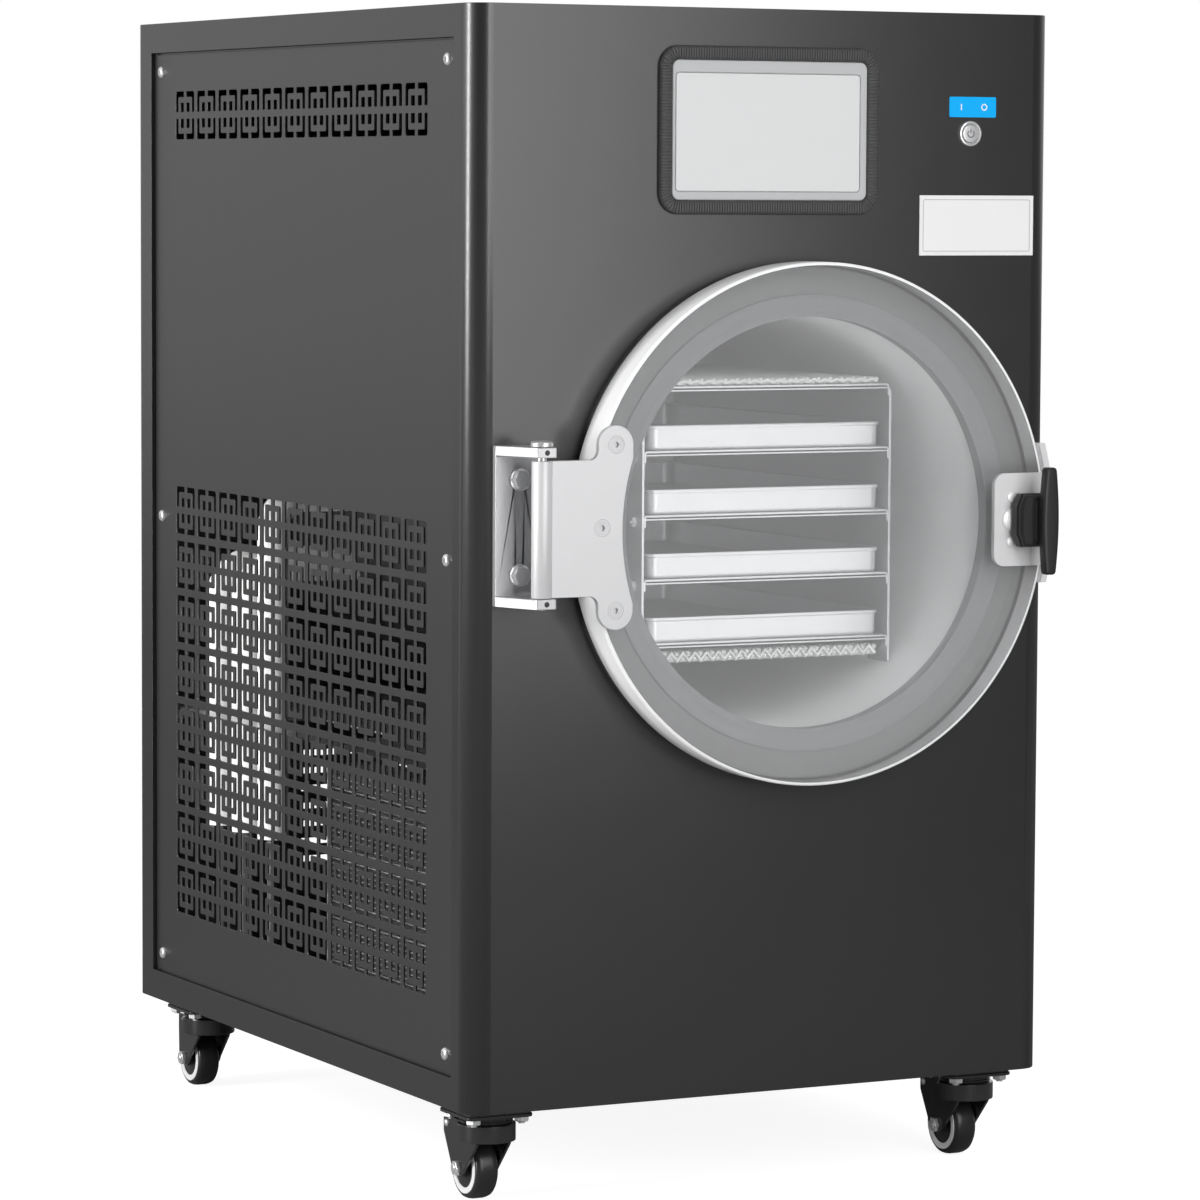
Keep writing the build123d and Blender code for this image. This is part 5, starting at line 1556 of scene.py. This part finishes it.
# ------------------------------------------------------------------ latch
@dataclass
class Latch:
    """T-handle with its two-tier hub, and the domed screws beside it.

    Attributes:
        hub: the hub's sides from the axis: left, right and half its height.
        cuts: size of the hub's cut corners across and upwards.
        hub_edge: width of the slope round the hub's front.
        grip: half the grip's width at its middle and at its ends.
        grip_depth: depth of the grip.
        grip_half: half the grip's length.
        grip_round: share of that length over which the ends aren't rounded yet.
        squareness: 1 on a round grip, less on a squarer one.
        hub_gap: the hub's front behind the grip.
        neck: half the width and height of the neck.
        domes: (x from the axis, height, radius, rise) of each domed screw.
    """

    hub: tuple = (20.0, 12.0, 20.0)
    cuts: tuple = (4.0, 9.7)
    hub_edge: float = 1.6
    grip: tuple = (7.0, 4.3)
    grip_depth: float = 9.0
    grip_half: float = 40.15
    grip_round: float = 0.94
    squareness: float = 0.42
    hub_gap: float = 3.5
    neck: tuple = (6.0, 15.5)
    domes: tuple = ((-18.0, 16.6, 4.0, 1.2), (-18.0, -16.6, 4.0, 1.2),
                    (-18.0, 0.0, 8.5, 2.55))

    def build(self) -> None:
        """Make the handle and the screws."""
        soften("latch_bracket", 0.5, 2)
        frame["nodes"]["latch_bracket"].material_slots[0].material = PLATE.material()
        handle = span("t_handle")
        x, z = span("latch_shaft").mid.x, handle.mid.z
        self._handle(x, z, handle)
        self._domes(x, z, span("latch_screws"))

    def _handle(self, x: float, z: float, box: Span) -> None:
        """Make the hub, the neck and the grip.

        Args:
            x: the handle's axis.
            z: height of the axis.
            box: box of the handle's node.
        """
        shape = Shape()
        back, front = box.hi.y, box.lo.y
        hub_front = front + self.grip_depth + self.hub_gap

        def eight(inset: float) -> list:
            """Outline of the hub drawn in by one distance.

            Args:
                inset: the distance.

            Returns:
                The outline.
            """
            left, right, half = (size - inset for size in self.hub)
            cut_x, cut_z = (c - inset * 0.4 for c in self.cuts)
            points = [(-left, cut_z - half), (cut_x - left, -half), (right - cut_x, -half),
                      (right, cut_z - half), (right, half - cut_z), (right - cut_x, half),
                      (cut_x - left, half), (-left, half - cut_z)]
            return [(x + u, z + v) for u, v in rounded(points, 0.8, 2)]

        e = self.hub_edge
        shape.stack([(eight(0.4), back), (eight(0.0), back - 0.5),
                     (eight(0.0), hub_front + 5.4), (eight(0.5), hub_front + 4.9),
                     (eight(0.9), hub_front + 4.9), (eight(0.9), hub_front + e),
                     (eight(1.1), hub_front + e - 0.3), (eight(1.1 + e), hub_front)],
                    Plane.FRONT)
        w, h = self.neck
        low, high = (x - w, z - h), (x + w, z + h)
        wide = rectangle((low[0] - 1, low[1] - 1.5), (high[0] + 1, high[1] + 1.5), 4.0, 4)
        slim = rectangle(low, high, 4.0, 4)
        shape.stack([(wide, hub_front + 0.2), (slim, hub_front - 1.2), (slim, front + 4.0)],
                    Plane.FRONT)
        tip = (self.grip_round, 0.965, 0.985, 0.997, 1.0)
        shares = [-t for t in reversed(tip)] + [k / 12 for k in range(-11, 12)] + list(tip)
        turns = [2 * math.pi * k / 28 for k in range(28)]
        loops = []
        for t in shares:
            width = self.grip[1] + (self.grip[0] - self.grip[1]) * (1 - t * t)
            past = max(0.0, (abs(t) - self.grip_round) / (1 - self.grip_round))
            end = 0.6 + 0.4 * math.sqrt(max(0.02, 1 - past ** 2))
            across, deep = width * end, self.grip_depth / 2 * end
            ring = [(x + across * self._square(math.cos(a)),
                     front + self.grip_depth / 2 + deep * self._square(math.sin(a)))
                    for a in turns]
            loops.append((ring, z + t * self.grip_half))
        shape.stack(loops, Plane.FLAT)
        shape.place("tee_handle", HANDLE, "handle", ("t_handle",))

    def _square(self, share: float) -> float:
        """Turn a circle's coordinate into that of a square with round corners."""
        return math.copysign(abs(share) ** self.squareness, share)

    def _domes(self, x: float, z: float, box: Span) -> None:
        """Make the domed screws of the latch plate.

        Args:
            x: the handle's axis.
            z: height of the axis.
            box: box of the screws' node.
        """
        shape = Shape()
        seat = box.lo.y + max(rise for _, _, _, rise in self.domes)
        for across, up, radius, rise in self.domes:
            shape.lathe(dome(radius, rise, seat, -1, 8) + [
                (radius * 0.55, seat), (radius * 0.55, box.hi.y), (0.0, box.hi.y)],
                (x + across, 0.0, z + up), "y", 40)
        shape.place("latch_domes", DOME, "door", ("latch_screws",))


# ------------------------------------------------------------------ casters
@dataclass
class Caster:
    """One caster: fork, wheel with its pale ring, bolts and rivets.

    Attributes:
        corner: which corner of the cabinet.
        trail: axle behind the swivel axis.
        fork_radius: radius of the fork's crown.
        sheet: thickness of the fork's sheet.
        hood: height of the crown's band.
        leg_front: leg's front edge ahead of the swivel axis.
        tyre_half: half the wheel's width.
        ring: inner and outer radius of the wheel's pale ring.
        rivets: each rivet behind the swivel axis and from the fork's top.
        pivot: height of the pedal's pivot.
        pivot_in: the pivot behind the pedal's front.
        nut_across: axle nut across its flats.
    """

    corner: str
    trail: float = 19.0
    fork_radius: float = 22.0
    sheet: float = 2.4
    hood: float = 13.0
    leg_front: float = 14.0
    tyre_half: float = 9.5
    ring: tuple = (14.8, 19.6)
    rivets: tuple = ((-5.0, -6.0), (8.0, -5.0))
    pivot: float = 54.5
    pivot_in: float = 5.0
    nut_across: float = 10.0

    def build(self) -> None:
        """Make the caster's pieces."""
        wheel, fork = span("caster_wheel_" + self.corner), span("caster_fork_" + self.corner)
        axle = wheel.mid
        self._wheel(axle, wheel)
        self._fork(axle, wheel, fork)
        if self.corner.startswith("front"):
            soften("brake_pedal_" + self.corner, 0.6, 2)

    def _wheel(self, axle: Vector, box: Span) -> None:
        """Make the wheel and its pale rings.

        Args:
            axle: middle of the wheel.
            box: box of the wheel's node.
        """
        r, half, boss = box.size.z / 2, self.tyre_half, box.size.x / 2
        side = [(3.1, boss), (6.4, boss), (7.0, boss - 0.5), (7.2, half - 0.6),
                (8.4, half - 1.4), (14.6, half - 1.6), (15.6, half - 0.6), (r - 4.0, half - 0.4),
                (r - 2.4, half - 0.6), (r - 1.2, half - 1.6), (r - 0.4, half - 3.6),
                (r, half - 6.0)]
        profile = [(a, -b) for a, b in side] + list(reversed(side))
        Shape().lathe(profile, tuple(axle), "x", 72, closed=True).place(
            "wheel_tyre_" + self.corner, RUBBER, "wheel_" + self.corner,
            ("caster_wheel_" + self.corner,))
        inner, outer = self.ring
        rings = Shape()
        for sign in (-1, 1):
            face = sign * (half - 0.7)
            proud = sign * (half - 0.05)
            rings.lathe([(inner, face), (inner + 0.3, proud), (outer - 0.3, proud),
                         (outer, face)], tuple(axle), "x", 64, closed=True)
        rings.place("wheel_ring_" + self.corner, WHITE, "wheel_" + self.corner)

    def _fork(self, axle: Vector, wheel: Span, box: Span) -> None:
        """Make the fork, its axle bolt and its rivets.

        Args:
            axle: middle of the wheel.
            wheel: box of the wheel's node.
            box: box of the fork's node.
        """
        x, y = axle.x, axle.y - self.trail
        top, reach = box.hi.z, box.hi.y
        inner = wheel.size.x / 2 + 0.4
        outer = inner + self.sheet
        hood_low = top - self.hood
        leg = [(y - self.leg_front, top), (y - self.leg_front, hood_low - 1),
               (axle.y - 9.0, axle.z - 3.0), (axle.y - 6.0, axle.z - 5.0),
               (axle.y + 6.0, axle.z - 5.0), (axle.y + 9.0, axle.z - 2.0),
               (reach, hood_low + 1), (reach, top)]
        outline = rounded(leg, [2, 9, 4, 4, 4, 4, 5, 2.5], 5)
        shape = Shape()
        for sign in (-1, 1):
            low, high = sorted((x + sign * inner, x + sign * outer))
            shape.slab(outline, low, high, Plane.SIDE, edge=0.6, steps=2)
        r = self.fork_radius
        turns = [math.radians(180 + 180 * k / 24) for k in range(25)]
        band = [(x + arm * math.cos(a), y + arm * math.sin(a))
                for arm, half in ((r, turns), (r - self.sheet, turns[::-1])) for a in half]
        shape.slab(band, hood_low, top, Plane.FLAT, edge=0.6, steps=2)
        shape.lathe([(5.2, top), (r - 2.6, top), (r - 1.0, top - 0.5), (r, top - 1.8),
                     (r - 0.6, top - self.sheet), (5.2, top - self.sheet)],
                    (x, y, 0.0), "z", 48, closed=True)
        shape.place("fork_frame_" + self.corner, FORK, "fork_" + self.corner,
                    ("caster_fork_" + self.corner,))
        bolts = Shape()
        bolts.tube([(x - outer - 0.5, axle.y, axle.z), (x + outer + 0.5, axle.y, axle.z)],
                   3.0, 20)
        for sign in (-1, 1):
            face = x + sign * outer
            bolts.nut((axle.y, axle.z), self.nut_across,
                      (face, face + sign * 2.6, face + sign * 3.1), Plane.SIDE, (0.46,))
            bolts.lathe([(3.0, sign * 3.0), (3.0, sign * 3.7), (2.6, sign * 4.0),
                         (0.0, sign * 4.0)], (face, axle.y, axle.z), "x", 20)
            for dy, dz in self.rivets:
                bolts.lathe(dome(2.3, 1.2, 0.0, sign, 4), (face, y + dy, top + dz), "x", 20)
            if self.corner.startswith("front"):
                pedal = span("brake_pedal_" + self.corner)
                bolts.lathe(dome(2.9, 1.4, 0.0, sign, 4),
                            (face, pedal.lo.y + self.pivot_in, self.pivot), "x", 20)
        bolts.place("fork_bolts_" + self.corner, BOLT, "fork_" + self.corner)


@dataclass
class CasterMounts:
    """Plates, ball races and nuts that hold the casters to the base.

    Attributes:
        size: width of a plate.
        sheet: its thickness.
        pad: width of the pad between plate and base.
        depth: plate and pad together.
        nut_at: nuts from the swivel axis, along and across.
        nut_across: a nut across its flats.
    """

    size: float = 54.0
    sheet: float = 2.5
    pad: float = 52.0
    depth: float = 8.5
    nut_at: float = 19.5
    nut_across: float = 10.0

    def build(self) -> None:
        """Make the plates and the nuts of all four casters."""
        box = span("caster_plates")
        plates, nuts = Shape(), Shape()
        top = box.hi.z
        low = top - self.depth
        for corner in CORNERS:
            wheel = span("caster_wheel_" + corner).mid
            x, y = wheel.x, wheel.y - Caster(corner).trail
            half, pad = self.size / 2, self.pad / 2
            plates.slab(rectangle((x - half, y - half), (x + half, y + half), 6.0, 5), low,
                        low + self.sheet, Plane.FLAT, edge=0.5, steps=2)
            plates.slab(rectangle((x - pad, y - pad), (x + pad, y + pad), 5.0, 4),
                        low + self.sheet, top, Plane.FLAT, edge=0.4)
            plates.lathe([(20.0, low), (20.0, low - 2.0), (19.0, low - 2.7),
                          (19.0, low - 3.3), (20.0, low - 4.0), (19.4, low - 6.0),
                          (5.0, low - 6.0), (5.0, box.lo.z + 2.0), (7.5, box.lo.z + 2.0),
                          (7.5, box.lo.z + 0.5), (7.0, box.lo.z), (0.0, box.lo.z)],
                         (x, y, 0.0), "z", 48)
            for dx, dy in ((-1, -1), (-1, 1), (1, -1), (1, 1)):
                spot = (x + dx * self.nut_at, y + dy * self.nut_at)
                nuts.nut(spot, self.nut_across, (low, low - 3.4, low - 4.0), Plane.FLAT)
                nuts.lathe([(2.4, low - 3.9), (2.4, low - 5.4), (0.0, low - 5.6)],
                           (*spot, 0.0), "z", 16)
        plates.place("caster_mounts", FORK, replaces=("caster_plates",))
        nuts.place("caster_nuts", BOLT)


# ------------------------------------------------------------------ machinery
@dataclass
class Machinery:
    """Condenser behind the vents, and the fixings of the cabinet's back.

    Attributes:
        fin_pitch: distance between two fins.
        fin: thickness of a fin.
        wall: thickness of the end plates.
        depth: depth of the fins in front of the coil's core.
        pipe: radius of the bent tubes.
        screw: radius of the rear screws' heads.
        screw_in: rear screws from the panel's edges.
        line_count: number of foam-covered lines.
        line_radius: radius of their foam.
        line_pitch: distance between two lines.
        line_bend: radius of their bends.
        line_out: lines nearer to the side than their node's.
        line_back: lines further back than their node's.
        line_bare: height of the bare pipe below the foam.
        pipe_radius: radius of the bare pipe.
        jacket: thickness of the drum's black insulation.
    """

    fin_pitch: float = 4.2
    fin: float = 0.9
    wall: float = 2.0
    depth: float = 14.0
    pipe: float = 3.45
    screw: float = 4.0
    screw_in: float = 9.0
    line_count: int = 3
    line_radius: float = 12.5
    line_pitch: float = 52.0
    line_bend: float = 26.0
    line_out: float = 18.0
    line_back: float = 116.5
    line_bare: float = 150.0
    pipe_radius: float = 4.8
    jacket: float = 1.6

    def build(self) -> None:
        """Make the coil, the lines and the rear screws, and round the housings."""
        for node in ("fan_shroud", "control_box", "mains_inlet", "rear_panel"):
            soften(node, 0.4)
        soften("cabinet_wrap", 0.3)
        soften("top_cover", 0.3)
        self._coil()
        self._lines()
        self._jacket()
        self._screws()

    def _lines(self) -> None:
        """Make the foam-covered refrigerant lines between base and drum."""
        box, drum = span("refrigerant_lines"), span("vacuum_drum")
        bend, r = self.line_bend, self.line_radius
        x = box.lo.x + r - self.line_out
        low, level = box.lo.z, drum.mid.z
        foot = low + self.line_bare
        turns = [math.pi / 2 * step / 8 for step in range(9)]
        shape, bare = Shape(), Shape()
        for k in range(self.line_count):
            y = box.hi.y - r + self.line_back - (self.line_count - 1 - k) * self.line_pitch
            end, top = (drum.lo.x + 1.0, level) if k == 0 else (drum.mid.x - 30.0, level - 60.0)
            bare.tube([(x, y, low + 1.0), (x, y, foot + 5.0)], self.pipe_radius, 16)
            path = [(x, y, foot + (top - bend - foot) * step / 12) for step in range(12)]
            path += [(x + bend - bend * math.cos(t), y, top - bend + bend * math.sin(t))
                     for t in turns]
            shape.tube(path + [(end, y, top)], r, 20)
        shape.place("line_foam", FOAM, replaces=("refrigerant_lines",))
        bare.place("line_pipes", TANK)

    def _jacket(self) -> None:
        """Make the black insulation round the drum."""
        drum = span("vacuum_drum")
        r, thick = drum.size.x / 2 + 0.1, self.jacket
        front, back = drum.lo.y + 16.0, drum.hi.y - 8.0
        Shape().lathe([(r, front), (r + thick, front), (r + thick, back), (r, back)],
                      (drum.mid.x, 0.0, drum.mid.z), "y", 96, closed=True).place(
            "drum_jacket", SHROUD)

    def _coil(self) -> None:
        """Make the condenser with level fins and bent tube ends."""
        box = span("condenser_coil")
        x0, x1, y0, z0, z1 = box.lo.x, box.hi.x, box.lo.y, box.lo.z, box.hi.z
        y1 = box.hi.y - 6.0
        shape = Shape()
        for y in (y0, y1 - self.wall):
            shape.block((x0, y, z0), (x1, y + self.wall, z1), 0.4)
        shape.block((x0 + self.depth, y0 + self.wall, z0 + 2),
                    (x1 - 1.0, y1 - self.wall, z1 - 2), 1.0)
        count = int((z1 - z0 - 6) / self.fin_pitch)
        for k in range(count):
            z = z0 + 4 + k * self.fin_pitch
            sheet = rectangle((x0 + 0.8, y0 + self.wall),
                              (x0 + self.depth + 0.5, y1 - self.wall))
            shape.stack([(sheet, z), (sheet, z + self.fin)], Plane.FLAT)
        pitch = (z1 - z0) / 7
        for row in range(1, 7, 2):
            for x in ((x0 * 3 + x1) / 4, (x0 + x1 * 3) / 4):
                z = z0 + pitch * row
                bend = [(x, y1 + 1.2 + 0.2 * math.sin(t),
                         z + pitch * (1 - math.cos(t)) / 2)
                        for t in (0, 0.5, 1.0, math.pi / 2, 2.1, 2.6, math.pi)]
                shape.tube([(x, y1 - 1.0, z)] + bend + [(x, y1 - 1.0, z + pitch)],
                           self.pipe)
        shape.place("coil_core", FINS, replaces=("condenser_coil",))

    def _screws(self) -> None:
        """Make the screws around the rear panel."""
        box = span("rear_panel")
        shape = Shape()
        low, high = box.lo.z + self.screw_in, box.hi.z - self.screw_in
        for x in (box.lo.x + self.screw_in, box.mid.x, box.hi.x - self.screw_in):
            for share in (0.02, 0.98) if x == box.mid.x else (0.02, 0.5, 0.98):
                z = min(max(box.lo.z + box.size.z * share, low), high)
                shape.lathe(button_head(self.screw, 1.8), (x, box.hi.y, z), "y", 20)
        shape.place("rear_screws", BOLT, smooth=50)


# ------------------------------------------------------------------ main
def dress_nodes() -> None:
    """Give every node of the frame the finish of its slot."""
    finishes = {finish.slot: finish for finish in FINISHES}
    for node in frame["nodes"].values():
        slot = node.material_slots[0].material.name.split(".")[0]
        node.material_slots[0].material = finishes[slot].material()


def main() -> None:
    """Build the studio and every sub-assembly in order, and report each piece."""
    logging.basicConfig(level=logging.INFO, format="%(message)s")
    dress_nodes()
    casters = [Caster(corner) for corner in CORNERS]
    studio = Studio()
    for part in (studio, Cabinet(), Door(), Seal(), Rack(), Controls(), Hinge(), Latch(),
                 *casters, CasterMounts(), Machinery()):
        known = set(bpy.data.objects.keys())
        part.build()
        for name in sorted(set(bpy.data.objects.keys()) - known):
            LOG.info("%s made %s", type(part).__name__, name)
    studio.spare([bpy.data.objects["clear_door"]])


if __name__ == "__main__":
    main()
